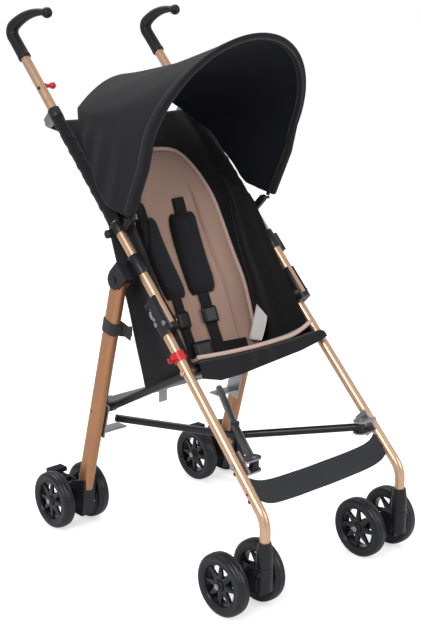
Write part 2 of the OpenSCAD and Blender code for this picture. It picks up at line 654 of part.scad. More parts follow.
// side outline of the hub about the axle, in shares of its reach forward and up
hub_fore = 66.2;
hub_up = 53.25;
hub_shares = [[-1, 1], [-0.426, 0.793], [0.2085, 0.2488], [0.2387, -0.1268], [0.0876, -0.277], [-0.3656, -0.5399], [-0.8187, -0.5399], [-0.9094, 0.0235]];
hub_ear_t = 4;
hub_ear_over = 6;
slot_set = 8;
slot_r = 9;
pedal_boss_r = 7;
pedal_arm_w = 16;
pedal_arm_low = 5;
pedal_arm_h = 14;
pedal_clear = 8;
rib_pitch = 8;
rib_w = 3;
rib_h = 1.5;
pin_run = 10;
module rear_hub() color(black) difference() {
  union() {
    translate([-rear_x - hub_w / 2, 0, 0]) rotate([90, 0, 90]) linear_extrude(hub_w) translate([rear_axle_y, wheel_r]) polygon([for (q = hub_shares) [q[0] * hub_fore, q[1] * hub_up]]);
    translate([-rear_x, rear_axle_y, wheel_r]) along_x(hub_r, 2 * (rear_twin - tyre_w / 2 - air));
    // pedal ears
    for (e = [-1, 1]) translate([-rear_x + e * (hub_w - hub_ear_t) / 2 - hub_ear_t / 2, rear_axle_y, wheel_r]) cube([hub_ear_t, pedal_back + hub_ear_over, pedal_up + hub_ear_over]);
  }
  on_rear() translate([0, 0, -rear_len - air]) linear_extrude(rear_len) oval(rear_deep + 2 * fix_fit, rear_wide + 2 * fix_fit);
  translate([-rear_x, rear_axle_y, wheel_r]) along_x(axle_d / 2 + fix_fit, big);
  translate([-rear_x, pedal_y, pedal_z]) along_x(pin_r + run_fit, hub_w + pin_run);
  translate([-rear_x, pedal_y, pedal_z]) along_x(slot_r, hub_w - slot_set + eps);
}
module brake_pedal() color(black) {
  translate([-rear_x, pedal_y, pedal_z]) {
    along_x(pin_r, hub_w);
    along_x(pedal_boss_r, hub_w - slot_set - 2 * air);
  }
  difference() {
    translate([-rear_x - pedal_arm_w / 2, pedal_y, pedal_z - pedal_arm_low]) cube([pedal_arm_w, pad_y - pedal_y, pedal_arm_h]);
    translate([-rear_x, rear_axle_y, wheel_r]) along_x(hub_r + pedal_clear, big);
  }
  translate([-rear_x - pad_w / 2, pad_y - pad_d / 2, pad_z - pad_h]) cube([pad_w, pad_d, pad_h]);
  for (k = [-1 : 1]) translate([-rear_x - pad_w / 2, pad_y + k * rib_pitch - rib_w / 2, pad_z - eps]) cube([pad_w, rib_w, rib_h]);
}

module seat_tube() color(black) translate([-seat_x, seat_fy, seat_fz]) difference() {
  union() {
    along_x(seat_eye_r, seat_d - air);
    rotate([90 - seat_drop, 0, 0]) mirror([0, 0, 1]) cylinder(r = seat_r, h = seat_len);
    translate([0, seat_ry - seat_fy, seat_rz - seat_fz]) along_x(seat_rear_r, seat_d - air);
  }
  along_x(pin_r + fix_fit, big);
  translate([0, seat_ry - seat_fy, seat_rz - seat_fz]) along_x(pin_r + fix_fit, big);
}

strap_s = 100;
strap_h = 25;
strap_slack = 1;
strap_tail = 34;
strap_reach = 26;
module leg_strap() color(cloth) on_rear(strap_s) {
  translate([0, 0, -strap_h / 2]) linear_extrude(strap_h) difference() {
    oval(rear_deep + 2 * web_t + strap_slack, rear_wide + 2 * web_t + strap_slack);
    oval(rear_deep + strap_slack, rear_wide + strap_slack);
  }
  translate([rear_wide / 2 + web_t, -rear_deep / 2 - strap_reach, -strap_h / 2]) cube([web_t, strap_tail, strap_h]);
}

catch_r = 7;
catch_stem_r = 4;
catch_stem_l = 18;
catch_stem_out = 8;
catch_out = 19;
catch_foot_r = 6;
catch_foot_t = 3;
catch_foot_out = 0.5;
catch_run = 40;
clip_wall = 3;
clip_len = 18;
prong_w = 4;
prong_l = 12;
prong_h = 10;
prong_x = 4;
nose_r = 4;
nose_l = 8;
nose_out = 4;
module carry_catch() color(red) {
  // mushroom pin on the inner side of the handle tube
  on_handle(catch_u) difference() {
    union() {
      translate([tube_r + catch_stem_out, 0, 0]) along_x(catch_stem_r, catch_stem_l);
      translate([tube_r + catch_out, 0, 0]) sphere(r = catch_r);
      translate([tube_r + catch_foot_out, 0, 0]) along_x(catch_foot_r, catch_foot_t);
    }
    translate([0, 0, -catch_run]) cylinder(r = tube_r + fix_fit, h = 2 * catch_run);
  }
  // open clip round the front leg
  on_leg(catch_t) difference() {
    union() {
      cylinder(r = tube_r + clip_wall, h = clip_len, center = true);
      for (y = [-prong_x - prong_w, prong_x]) translate([-tube_r - prong_l, y, -prong_h / 2]) cube([prong_l, prong_w, prong_h]);
      translate([tube_r + nose_out, 0, 0]) along_x(nose_r, nose_l);
    }
    cylinder(r = tube_r + fix_fit, h = catch_run, center = true);
  }
}

foot_h = 60;
foot_gap = 3.5;
foot_x = caster_x - tube_r - foot_gap;
foot_half_t = 2;
foot_set = 16;
foot_rows = 6;
foot_cols = 16;
function foot_pt(i, j, off) = let (x = foot_x * (2 * j / foot_cols - 1), t = foot_t - foot_h / 2 + foot_h * i / foot_rows, b = leg_back + foot_set * (1 - pow(x / foot_x, 2)) + off, u = leg_top_u - t)
  [x, foot_y + u * cp + b * sp, foot_z + u * sp - b * cp];
module footrest() color(slate) {
  skin([for (i = [0 : foot_rows]) [for (j = [0 : foot_cols]) foot_pt(i, j, -foot_half_t)]], [for (i = [0 : foot_rows]) [for (j = [0 : foot_cols]) foot_pt(i, j, foot_half_t)]]);
}

// length of a quarter of the arch
hood_arc_share = 1.55;
hood_arc = hood_rise * hood_arc_share;
function bow_s(q) = let (a = hood_side, l = hood_side + hood_arc, s = abs(q) * l) s > hood_arc
  ? [hood_x, a - (s - hood_arc)] : let (w = 90 * s / (hood_arc)) [hood_x * sin(w), hood_side + hood_rise * cos(w)];
function bow_pt(q, off) = let (p = bow_s(q), k = 1 - off / hood_x, x = (q < 0 ? -1 : 1) * p[0] * k, s = p[1] - off * (p[1] > hood_side ? (p[1] - hood_side) / hood_rise : 0))
  [x, hood_y - s * sin(hood_lean), hood_z + s * cos(hood_lean)];
function arch_pt(q, off) = let (p = bow_s(q), k = 1 - off / hood_x, f = (p[1] <= hood_side ? rear_arch_side * max(p[1], 0) / hood_side : rear_arch_side + rear_arch_rise * pow((p[1] - hood_side) / hood_rise, 2)))
  [(q < 0 ? -1 : 1) * p[0] * k, rear_arch_y, rear_arch_z + f - off * (p[1] > hood_side ? (p[1] - hood_side) / hood_rise : 0)];
bow_n = 40;
bow_q = 0.985;
bow_set = 2.6;
bow_in = hood_t + bow_r + bow_set;
bow_eye_r = 6.5;
bow_eye_w = 7;
module canopy_bow() color(black) difference() {
  union() {
    swept([for (i = [0 : bow_n]) bow_pt(bow_q * (2 * i / bow_n - 1), bow_in)], [for (i = [0 : bow_n]) bow_r], 12, [0, cos(hood_lean), sin(hood_lean)]);
    for (e = [-1, 1]) translate([e * (hood_x - bow_in), hood_y, hood_z]) along_x(bow_eye_r, bow_eye_w);
  }
  for (e = [-1, 1]) translate([e * (hood_x - bow_in), hood_y, hood_z]) along_x(pin_r + run_fit, 2 * bow_eye_w);
}
hood_hem = 36;
// the hem hangs over this share of the way to the rear
hem_share = 0.67;
hem_power = 0.85;
hood_rows = 8;
hood_cols = 32;
hood_q = 0.97;
function hood_pt(i, j, off) = let (k = hood_q * (2 * j / hood_cols - 1), f = i / hood_rows, w = max(0, 1 - bow_s(k)[1] / hood_side)) bow_pt(k, off) * (1 - f) + arch_pt(k, off) * f - [bow_pt(k, 0)[0] * hood_in_share * pow(f, hood_in_power), 0, hood_hem * w * w * sin(180 * pow(min(1, f / hem_share), hem_power))];
module canopy() color(cloth) {
  skin([for (i = [0 : hood_rows]) [for (j = [0 : hood_cols]) hood_pt(i, j, 0)]], [for (i = [0 : hood_rows]) [for (j = [0 : hood_cols]) hood_pt(i, j, hood_t)]]);
}

// foot of the sling back from the foot of the handle tube, and how far it runs back and up
sling_fore = 97;
sling_drop = 137.4;
back_run = 255.2;
back_rise = 480.4;
back_shares = [[1, 1], [0.6944, 0.8355], [0.4671, 0.6836], [0.3809, 0.5566], [0.2947, 0.4317], [0.1928, 0.3047], [0.0909, 0.1341], [0, 0]];
back_yz = [for (q = back_shares) [foot_y + sling_fore + q[0] * back_run, foot_z - sling_drop + q[1] * back_rise]];
// hollow of the sling down the back, in shares of the deepest
sag_shares = [0.17, 0.2, 0.76, 1, 0.94, 0.86, 0.72, 0.55];
function mix(l, f) = let (g = min(max(f, 0), 1) * (len(l) - 1), i = min(floor(g), len(l) - 2)) l[i] + (l[i + 1] - l[i]) * (g - i);
function sag_of(f, x) = sling_sag * mix(sag_shares, f) * pow(max(0, 1 - pow(x / sling_x, 2)), 2);
slope_share = 0.06;
function back_pt(f, x, off) = let (p = mix(back_yz, f), d = mix(back_yz, f + slope_share) - mix(back_yz, f - slope_share), t = d / norm(d), o = sag_of(f, x) - off) [x, p[0] - t[1] * o, p[1] + t[0] * o];
// seat base from its back edge to its turned front edge
base_fore = 96.2;
base_drop_z = 136.9;
base_run = 165;
base_rise = 76.6;
base_shares = [[0, 0], [0.3152, 0.3655], [0.6182, 0.7154], [0.8606, 1], [0.9697, 0.9634], [1, 0.6697]];
base_yz = [for (q = base_shares) [foot_y + base_fore - q[0] * base_run, foot_z - base_drop_z + q[1] * base_rise]];
base_drop = 10;
base_gap = 2;
flat_share = 0.7;
function base_pt(f, x, off) = let (p = mix(base_yz, f), d = mix(base_yz, f + slope_share) - mix(base_yz, f - slope_share), t = d / norm(d), o = base_drop * max(0, 1 - pow(x / (seat_x - seat_r - base_gap), 2)) * (1 - flat_share * f) - off) [x, p[0] - t[1] * o, p[1] + t[0] * o];
module on_back(f0, f1, x0, x1, o0, o1, rows, cols) skin(
  [for (i = [0 : rows]) [for (j = [0 : cols]) back_pt(f0 + (f1 - f0) * i / rows, x0 + (x1 - x0) * j / cols, o1)]],
  [for (i = [0 : rows]) [for (j = [0 : cols]) back_pt(f0 + (f1 - f0) * i / rows, x0 + (x1 - x0) * j / cols, o0)]]);
function puff(v) = pow(max(0, 1 - pow(abs(2 * v - 1), 4)), 0.5);
// the padded liner on the sling back: where it starts and ends, and its half width down the back
liner_shares = [0.15, 0.9];
liner_lift = 1;
liner_wide_shares = [0.36, 0.66, 0.73, 0.78, 0.82, 0.85, 0.88, 0.9, 0.92, 0.94, 0.96, 0.98, 1];
liner_skin = 2;
function liner_v(f) = (f - liner_shares[0]) / (liner_shares[1] - liner_shares[0]);
function liner_half(f) = liner_x * mix(liner_wide_shares, liner_v(f));
function liner_top(f, x) = liner_lift + liner_skin + (liner_t - liner_skin) * puff(liner_v(f)) * puff((x / liner_half(f) + 1) / 2);
// a strap or pad that lies on the liner
low_share = 0.3;
module on_liner(f0, f1, x0, x1, t, round, rows, cols) skin(
  [for (i = [0 : rows]) [for (j = [0 : cols]) let (f = f0 + (f1 - f0) * i / rows, x = x0 + (x1 - x0) * j / cols) back_pt(f, x, liner_top(f, x) + air + t * (round ? low_share + (1 - low_share) * puff(i / rows) * puff(j / cols) : 1))]],
  [for (i = [0 : rows]) [for (j = [0 : cols]) let (f = f0 + (f1 - f0) * i / rows, x = x0 + (x1 - x0) * j / cols) back_pt(f, x, liner_top(f, x) + air)]]);
wing_top_u = 190;
wing_long = 292;
wing_step_u = 75;
wing_gap = 3;
wing_t = 2;
wing_shares = [0.27, 0.66];
module wing(e) {
  rows = 10;
  function edge(i) = mix(back_yz, wing_shares[0] + wing_shares[1] * i / rows);
  function front(i) = let (u = wing_top_u - wing_long * i / rows, b = u > wing_step_u ? tube_r + wing_gap : leg_back + latch_r + wing_gap) [foot_y + u * cp + b * sp, foot_z + u * sp - b * cp];
  function wp(i, j, o) = let (a = front(i), b = edge(i), p = a + (b - a) * j / 4) [e * (sling_x + air + o), p[0], p[1]];
  if (e > 0) skin([for (i = [0 : rows]) [for (j = [0 : 4]) wp(i, j, wing_t)]], [for (i = [0 : rows]) [for (j = [0 : 4]) wp(i, j, 0)]]);
  else mirror([1, 0, 0]) wing(1);
}
module seat_sling() color(cloth) {
  on_back(0, 1, -sling_x, sling_x, -sling_t, 0, 20, 16);
  wing(-1);
  wing(1);
}
base_set = 2;
base_x = sling_x - base_set;
module seat_base() color(cloth) skin(
  [for (i = [0 : 12]) [for (j = [0 : 12]) base_pt(i / 12, base_x * (2 * j / 12 - 1), 0)]],
  [for (i = [0 : 12]) [for (j = [0 : 12]) base_pt(i / 12, base_x * (2 * j / 12 - 1), -sling_t)]]);
liner_seat_shares = [0.17, 0.62];
liner_seat_less = 4;
module liner() color(taupe) {
  rows = 15;
  cols = 14;
  skin(
    [for (i = [0 : rows]) [for (j = [0 : cols]) let (f = liner_shares[0] + (liner_shares[1] - liner_shares[0]) * i / rows, x = liner_half(f) * (2 * j / cols - 1)) back_pt(f, x, liner_top(f, x))]],
    [for (i = [0 : rows]) [for (j = [0 : cols]) let (f = liner_shares[0] + (liner_shares[1] - liner_shares[0]) * i / rows, x = liner_half(f) * (2 * j / cols - 1)) back_pt(f, x, liner_lift)]]);
  skin(
    [for (i = [0 : 8]) [for (j = [0 : 10]) base_pt(mix(liner_seat_shares, i / 8), liner_x * (2 * j / 10 - 1), liner_lift + liner_skin + (liner_t - liner_seat_less) * puff(i / 8) * puff(j / 10))]],
    [for (i = [0 : 8]) [for (j = [0 : 10]) base_pt(mix(liner_seat_shares, i / 8), liner_x * (2 * j / 10 - 1), liner_lift)]]);
}
strap_x = 48;
strap_w = 12;
pad_half = 25;
belt_w = 70;
belt_t = 3;
pad_shares = [0.36, 0.7];
upper_shares = [0.295, 0.356];
lower_shares = [0.704, 0.775];
belt_shares = [0.779, 0.83];
module harness() color(black) {
  for (e = [-1, 1]) {
    on_liner(pad_shares[0], pad_shares[1], e * strap_x - pad_half, e * strap_x + pad_half, pad_t, true, 8, 4);
    on_liner(upper_shares[0], upper_shares[1], e * strap_x - strap_w, e * strap_x + strap_w, web_t, false, 3, 2);
    on_liner(lower_shares[0], lower_shares[1], e * strap_x - strap_w, e * strap_x + strap_w, web_t, false, 3, 2);
  }
  on_liner(belt_shares[0], belt_shares[1], -belt_w, belt_w, belt_t, false, 3, 10);
}

right() handle_tube();  // right_handle_tube
left() handle_tube();  // left_handle_tube
right() grip();  // right_grip
left() grip();  // left_grip
right() pivot_bracket();  // right_pivot_bracket
left() pivot_bracket();  // left_pivot_bracket
right() brace_bracket(0);  // right_brace_bracket
left() brace_bracket(1);  // left_brace_bracket
right() canopy_clip();  // right_canopy_clip
left() canopy_clip();  // left_canopy_clip
right() latch_housing();  // right_latch_housing
left() latch_housing();  // left_latch_housing
right() latch_slider();  // right_latch_slider
left() latch_slider();  // left_latch_slider
right() front_leg();  // right_front_leg
left() front_leg();  // left_front_leg
right() front_x_bracket();  // right_front_x_bracket
left() front_x_bracket();  // left_front_x_bracket
right() caster_socket();  // right_caster_socket
left() caster_socket();  // left_caster_socket
right() caster_fork();  // right_caster_fork
left() caster_fork();  // left_caster_fork
right() front_axle();  // right_front_axle
left() front_axle();  // left_front_axle
right() front_wheel(-1);  // right_front_wheel_outer
right() front_wheel(1);  // right_front_wheel_inner
left() front_wheel(-1);  // left_front_wheel_outer
left() front_wheel(1);  // left_front_wheel_inner
right() rear_leg();  // right_rear_leg
left() rear_leg();  // left_rear_leg
right() rear_bracket(rest_drop);  // right_rear_bracket
left() rear_bracket(0);  // left_rear_bracket
right() rear_hub();  // right_rear_hub
left() rear_hub();  // left_rear_hub
right() rear_axle();  // right_rear_axle
left() rear_axle();  // left_rear_axle
right() rear_wheel(-1);  // right_rear_wheel_outer
right() rear_wheel(1);  // right_rear_wheel_inner
left() rear_wheel(-1);  // left_rear_wheel_outer
left() rear_wheel(1);  // left_rear_wheel_inner
right() brake_pedal();  // right_brake_pedal
left() brake_pedal();  // left_brake_pedal
right() seat_tube();  // right_seat_tube
left() seat_tube();  // left_seat_tube
right() lower_bar(bar_sag1);  // right_lower_bar
left() lower_bar(bar_sag2);  // left_lower_bar
right() back_brace(0);  // right_back_brace
left() back_brace(1);  // left_back_brace
right() lock_bar(0);  // right_lock_bar
left() lock_bar(1);  // left_lock_bar
right() leg_strap();  // right_leg_strap
left() leg_strap();  // left_leg_strap
right() carry_catch();
right() footrest();
right() canopy_bow();
right() canopy();
right() seat_sling();
right() seat_base();
right() liner();
right() harness();
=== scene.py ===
import bpy
import bmesh
import numpy as np
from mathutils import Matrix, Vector


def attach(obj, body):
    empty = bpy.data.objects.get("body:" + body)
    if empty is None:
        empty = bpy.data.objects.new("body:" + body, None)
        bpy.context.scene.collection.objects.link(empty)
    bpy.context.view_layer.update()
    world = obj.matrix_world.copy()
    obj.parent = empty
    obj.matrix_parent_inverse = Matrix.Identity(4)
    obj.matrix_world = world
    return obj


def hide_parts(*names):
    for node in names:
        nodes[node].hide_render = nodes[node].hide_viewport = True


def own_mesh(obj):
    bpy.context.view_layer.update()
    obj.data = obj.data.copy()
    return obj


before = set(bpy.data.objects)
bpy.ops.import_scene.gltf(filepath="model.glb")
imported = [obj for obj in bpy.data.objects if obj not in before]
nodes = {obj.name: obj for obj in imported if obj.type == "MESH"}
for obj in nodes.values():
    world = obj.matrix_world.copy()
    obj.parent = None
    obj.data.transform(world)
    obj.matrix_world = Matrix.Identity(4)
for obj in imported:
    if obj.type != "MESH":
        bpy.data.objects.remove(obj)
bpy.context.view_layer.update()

# The studio: a white floor that keeps the shadow, a white surround, three soft
# lamps, and the camera where the picture was taken from.
scene = bpy.context.scene
scene.view_settings.view_transform = "Standard"
camera = bpy.data.objects.new("camera", bpy.data.cameras.new("camera"))
scene.collection.objects.link(camera)
camera.location = (-1.5662, -1.8010, 1.1010)
look_at = Vector((0.0, -0.0288, 0.4525))
camera.rotation_euler = (look_at - camera.location).to_track_quat("-Z", "Y").to_euler()
camera.data.sensor_fit = "HORIZONTAL"
camera.data.sensor_width = 36
camera.data.lens = 106.52
scene.camera = camera
white = (1, 1, 1, 1)


def node(tree, kind, inputs=None, **settings):
    """A shader node with its settings and inputs; an input that is a socket is linked."""
    made = tree.nodes.new(kind)
    for key, value in settings.items():
        setattr(made, key, value)
    for key, value in (inputs or {}).items():
        if isinstance(value, bpy.types.NodeSocket):
            tree.links.new(value, made.inputs[key])
        else:
            made.inputs[key].default_value = value
    return made


def maths(tree, work, *values):
    """The result of one sum, such as MULTIPLY, on sockets or numbers."""
    return node(tree, "ShaderNodeMath", dict(enumerate(values)), operation=work).outputs[0]


def seen_directly(tree):
    """1 for rays of the camera and of glass, 0 for light that falls on the part or is mirrored in it."""
    ray = node(tree, "ShaderNodeLightPath").outputs
    return maths(tree, "MAXIMUM", ray["Is Camera Ray"], ray["Is Transmission Ray"])


surround = bpy.data.worlds.new("surround")
surround.use_nodes = True
scene.world = surround
air_tree = surround.node_tree
air_tree.nodes.clear()
white_air = node(air_tree, "ShaderNodeBackground", {"Color": white, "Strength": 1.0}).outputs[0]
soft_air = node(air_tree, "ShaderNodeBackground", {"Color": white, "Strength": 0.55}).outputs[0]
air_mix = node(air_tree, "ShaderNodeMixShader", {0: seen_directly(air_tree), 1: soft_air, 2: white_air})
node(air_tree, "ShaderNodeOutputWorld", {"Surface": air_mix.outputs[0]})

floor_half, floor_glow = 40.0, 0.56
floor_corners = [(x * floor_half, y * floor_half, 0) for x, y in ((-1, -1), (1, -1), (1, 1), (-1, 1))]
floor_mesh = bpy.data.meshes.new("floor")
floor_mesh.from_pydata(floor_corners, [], [(0, 1, 2, 3)])
floor = bpy.data.objects.new("floor", floor_mesh)
scene.collection.objects.link(floor)
floor_paint = bpy.data.materials.new("floor_paper")
floor_paint.use_nodes = True
floor_tree = floor_paint.node_tree
floor_tree.nodes.clear()
paper = node(floor_tree, "ShaderNodeBsdfDiffuse", {"Color": (0.82, 0.82, 0.82, 1)}).outputs[0]
glow_on = maths(floor_tree, "MULTIPLY", seen_directly(floor_tree), floor_glow)
glow = node(floor_tree, "ShaderNodeEmission", {"Color": white, "Strength": glow_on}).outputs[0]
paper_glow = node(floor_tree, "ShaderNodeAddShader", {0: paper, 1: glow}).outputs[0]
node(floor_tree, "ShaderNodeOutputMaterial", {"Surface": paper_glow})
floor.data.materials.append(floor_paint)


def lamp(name, place, size, power):
    """A square soft lamp at a place, turned to the middle of the part."""
    light = bpy.data.lights.new(name, "AREA")
    light.size = size
    light.energy = power
    made = bpy.data.objects.new(name, light)
    scene.collection.objects.link(made)
    made.location = place
    made.rotation_euler = (Vector((0, 0, 0.5)) - Vector(place)).to_track_quat("-Z", "Y").to_euler()


lamp("key_lamp", (-2.6, -1.6, 2.6), 1.6, 62)
lamp("fill_lamp", (1.6, -3.0, 1.9), 1.8, 34)
lamp("top_lamp", (0.3, 1.6, 3.0), 1.6, 36)

# The tubes of the two sides: drawn aluminium, satin anodised in a pale rose
# gold. The handle tube and the front leg overlap in the latch housing.
handle_cos, handle_sin = 0.70091, 0.71325
foot_y, foot_z, side_x = -104.2, 481.0, 171.0
middle_y = 12.0


def tint(colour, times=1.0, plus=0.0):
    """The colour times one number plus another, at most 1, and opaque."""
    return tuple(min(1.0, c * times + plus) for c in colour) + (1,)


def two_tone(tree, value, colour, spread, low, high):
    """The colour, darker by spread where the value is low and lighter where it is high."""
    ramp = node(tree, "ShaderNodeValToRGB", {"Fac": value})
    for stop, at, times in zip(ramp.color_ramp.elements, (low, high), (1 - spread, 1 + spread)):
        stop.position = at
        stop.color = tint(colour, times)
    return ramp.outputs["Color"]


def laid_over(tree, value, low, high, to_low, to_high):
    """A value between low and high, carried over to another range and held at its ends."""
    ends = {"From Min": low, "From Max": high, "To Min": to_low, "To Max": to_high}
    return node(tree, "ShaderNodeMapRange", {"Value": value, **ends}).outputs[0]


def mixed(tree, share, first, second):
    """Two colours mixed by a share of the second."""
    return node(tree, "ShaderNodeMixRGB", {"Fac": share, "Color1": first, "Color2": second}).outputs[0]


def noise(tree, place, scale, detail, **more):
    """A soft noise over a place."""
    inputs = {"Vector": place, "Scale": scale, "Detail": detail}
    inputs.update({key.capitalize(): value for key, value in more.items()})
    return node(tree, "ShaderNodeTexNoise", inputs).outputs["Fac"]


def paint(name, colour, rough, metal=0.0, spread=0.12, grain=400, bump=0.05, sheen=0.0, specular=0.5,
          wear=0.0):
    """A finish on Object coordinates: the colour drifts with a soft noise, and a fine
    noise sets the roughness and the bump; wear lightens the convex edges."""
    made = bpy.data.materials.new(name)
    made.use_nodes = True
    tree = made.node_tree
    bsdf = tree.nodes["Principled BSDF"]
    place = node(tree, "ShaderNodeTexCoord").outputs["Object"]
    drift = noise(tree, place, 22.0, 4.0, roughness=0.55)
    shade = two_tone(tree, drift, colour, spread, 0.3, 0.7)
    if wear > 0:
        edge = node(tree, "ShaderNodeNewGeometry").outputs["Pointiness"]
        worn = laid_over(tree, edge, 0.52, 0.6, 0.0, wear)
        shade = mixed(tree, worn, shade, tint(colour, 2.2, 0.05))
    tree.links.new(shade, bsdf.inputs["Base Color"])
    stretch = node(tree, "ShaderNodeMapping", {"Vector": place, "Scale": np.broadcast_to(grain, 3).tolist()})
    fine = noise(tree, stretch.outputs[0], 1.0, 3.0)
    gloss = laid_over(tree, fine, 0.25, 0.75, max(0.03, rough - 0.07), rough + 0.07)
    tree.links.new(gloss, bsdf.inputs["Roughness"])
    relief = node(tree, "ShaderNodeBump", {"Height": fine, "Strength": bump, "Distance": 0.0006})
    tree.links.new(relief.outputs[0], bsdf.inputs["Normal"])
    bsdf.inputs["Metallic"].default_value = metal
    bsdf.inputs["Sheen Weight"].default_value = sheen
    bsdf.inputs["Specular IOR Level"].default_value = specular
    return made


def dress(names, finish, edge=0.6):
    """The CAD solids named get the finish on every slot, and rounded edges of that many millimetres."""
    for name in names:
        piece = nodes[name]
        for place in piece.material_slots:
            place.material = finish
        if edge > 0:
            piece.modifiers.new("joined", "WELD").merge_threshold = 0.00002
            round_off = piece.modifiers.new("edges", "BEVEL")
            round_off.width = edge / 1000
            round_off.segments = 2
            round_off.limit_method = "ANGLE"
            round_off.angle_limit = np.radians(38)


def both(*names):
    """The right and left node of each name."""
    return [side + "_" + name for name in names for side in ("right", "left")]


rose_gold = paint("rose_gold_anodised", (0.70, 0.452, 0.302), 0.34, 0.85, spread=0.03, grain=60, bump=0.004)
dress(both("handle_tube", "front_leg"), rose_gold, edge=0)

# The rear legs: flat oval steel tube, painted in a deeper copper gold, hung on
# the pin of the pivot bracket and set into the rear hub.
copper_gold = paint("copper_gold_paint", (0.46, 0.225, 0.112), 0.36, 0.7, spread=0.03, grain=60, bump=0.004)
dress(both("rear_leg"), copper_gold, edge=0)

# The grips: soft black moulding pushed over the handle tube, bent forward into
# a tapering hook with a ball end.
grip_low, grip_long, grip_out = 641.5, 58.0, 13.0
hook_first, hook_second, hook_small, hook_large = 100.0, 40.0, 15.0, 158.0
hook_wide, hook_thin, ball_r, hook_toe = 12.4, 5.6, 10.75, 5.0
sleeve_up = np.array([0, 0.6, 2, 4, 6, 8, 20, 32, 44, 54.0])
sleeve_swell = np.array([-2.4, -0.6, 0.6, 1, 1, -0.4, -0.7, -0.8, -0.8, -1.0])
sides = (("right", False, "right_side"), ("left", True, "left_side"))


def handle_point(across, back, up):
    """A point of the right handle frame: across the part, behind the tube and up the tube."""
    y = foot_y + up * handle_cos + back * handle_sin
    z = foot_z + up * handle_sin - back * handle_cos
    return np.stack([-side_x + across, y, z], -1)


def mesh_of(rows, columns):
    """Two grids, of the row values and of the column values."""
    return np.meshgrid(rows, columns, indexing="ij")


def unit(count):
    """Even steps from 0 to 1."""
    return np.linspace(0, 1, count)


def span(count):
    """Even steps from -1 to 1."""
    return np.linspace(-1, 1, count)


def circle(count):
    """Even steps round a full turn."""
    return np.linspace(0, 2 * np.pi, count, endpoint=False)


def open_sheet(grid, finish=0):
    """A part for skin that is open both ways."""
    return grid, False, False, finish


def rolled(grid, finish=0):
    """A part for skin whose columns close on themselves."""
    return grid, False, True, finish


def ringed(grid, finish=0):
    """A part for skin whose rows and columns close on themselves."""
    return grid, True, True, finish


def run_length(grid, axis):
    """Mean distance along one axis of a grid and back to its start, in metres, at each step."""
    closed = np.concatenate([grid, grid[:1] if axis == 0 else grid[:, :1]], axis)
    steps = np.linalg.norm(np.diff(closed, axis=axis), axis=-1).mean(1 - axis)
    return np.append(0, np.cumsum(steps)) / 1000


def skin(name, parts, finishes, body, weld=False):
    """One piece from grids of points in millimetres. Each part is (grid, rows close, columns close,
    finish number); its UV map is the distance along rows and columns in metres."""
    spots, faces, maps, finish_of = [], [], [], []
    start = 0
    for grid, rows_close, columns_close, number in parts:
        grid = np.asarray(grid, float)
        n, m = grid.shape[:2]
        i, j = mesh_of(np.arange(n if rows_close else n - 1), np.arange(m if columns_close else m - 1))
        i, j = i.ravel(), j.ravel()
        corner_i = np.stack([i, i + 1, i + 1, i], -1)
        corner_j = np.stack([j, j, j + 1, j + 1], -1)
        faces.append(start + (corner_i % n) * m + corner_j % m)
        cut = [run_length(grid, 0)[corner_i], run_length(grid, 1)[corner_j]]
        maps.append(np.stack(cut, -1).reshape(-1, 2))
        finish_of.append(np.full(len(i), number))
        spots.append(grid.reshape(-1, 3))
        start += n * m
    spots = (np.concatenate(spots) - [0, middle_y, 0]) / 1000
    mesh = bpy.data.meshes.new(name)
    mesh.from_pydata(spots.tolist(), [], np.concatenate(faces).tolist())
    mesh.uv_layers.new(name="cut").data.foreach_set("uv", np.concatenate(maps).ravel())
    mesh.polygons.foreach_set("material_index", np.concatenate(finish_of).astype(np.int32))
    mesh.polygons.foreach_set("use_smooth", np.full(len(mesh.polygons), True))
    for finish in finishes:
        mesh.materials.append(finish)
    if weld:
        work = bmesh.new()
        work.from_mesh(mesh)
        bmesh.ops.remove_doubles(work, verts=work.verts, dist=0.000002)
        bmesh.ops.dissolve_degenerate(work, edges=work.edges, dist=0.000001)
        bmesh.ops.recalc_face_normals(work, faces=work.faces)
        work.to_mesh(mesh)
        work.free()
    mesh.update()
    piece = bpy.data.objects.new(name, mesh)
    scene.collection.objects.link(piece)
    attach(piece, body)
    return piece


def carried(path, radius, count, across):
    """A round profile carried along a path: each ring stands square to the path, with its first
    axis as near as may be to the given direction; the ends shrink to a point."""
    path = np.asarray(path, float)
    along = np.gradient(path, axis=0)
    along /= np.linalg.norm(along, axis=1, keepdims=True)
    first = np.asarray(across, float) - along * (along @ np.asarray(across, float))[:, None]
    first /= np.linalg.norm(first, axis=1, keepdims=True)
    second = np.cross(along, first)
    turn = circle(count)[None, :, None]
    ring = np.cos(turn) * first[:, None] + np.sin(turn) * second[:, None]
    radius = np.broadcast_to(np.asarray(radius, float), (len(path),))
    grid = path[:, None] + radius[:, None, None] * ring
    return np.concatenate([np.repeat(path[:1, None], count, 1), grid, np.repeat(path[-1:, None], count, 1)])


def mirror_x(grid):
    """The same grid on the left side, with its rows turned about so that it still faces outwards."""
    return (np.asarray(grid) * [-1, 1, 1])[::-1]


def on_side(grid, turned):
    """A grid of the right side, or its mirror image if turned."""
    return mirror_x(grid) if turned else grid


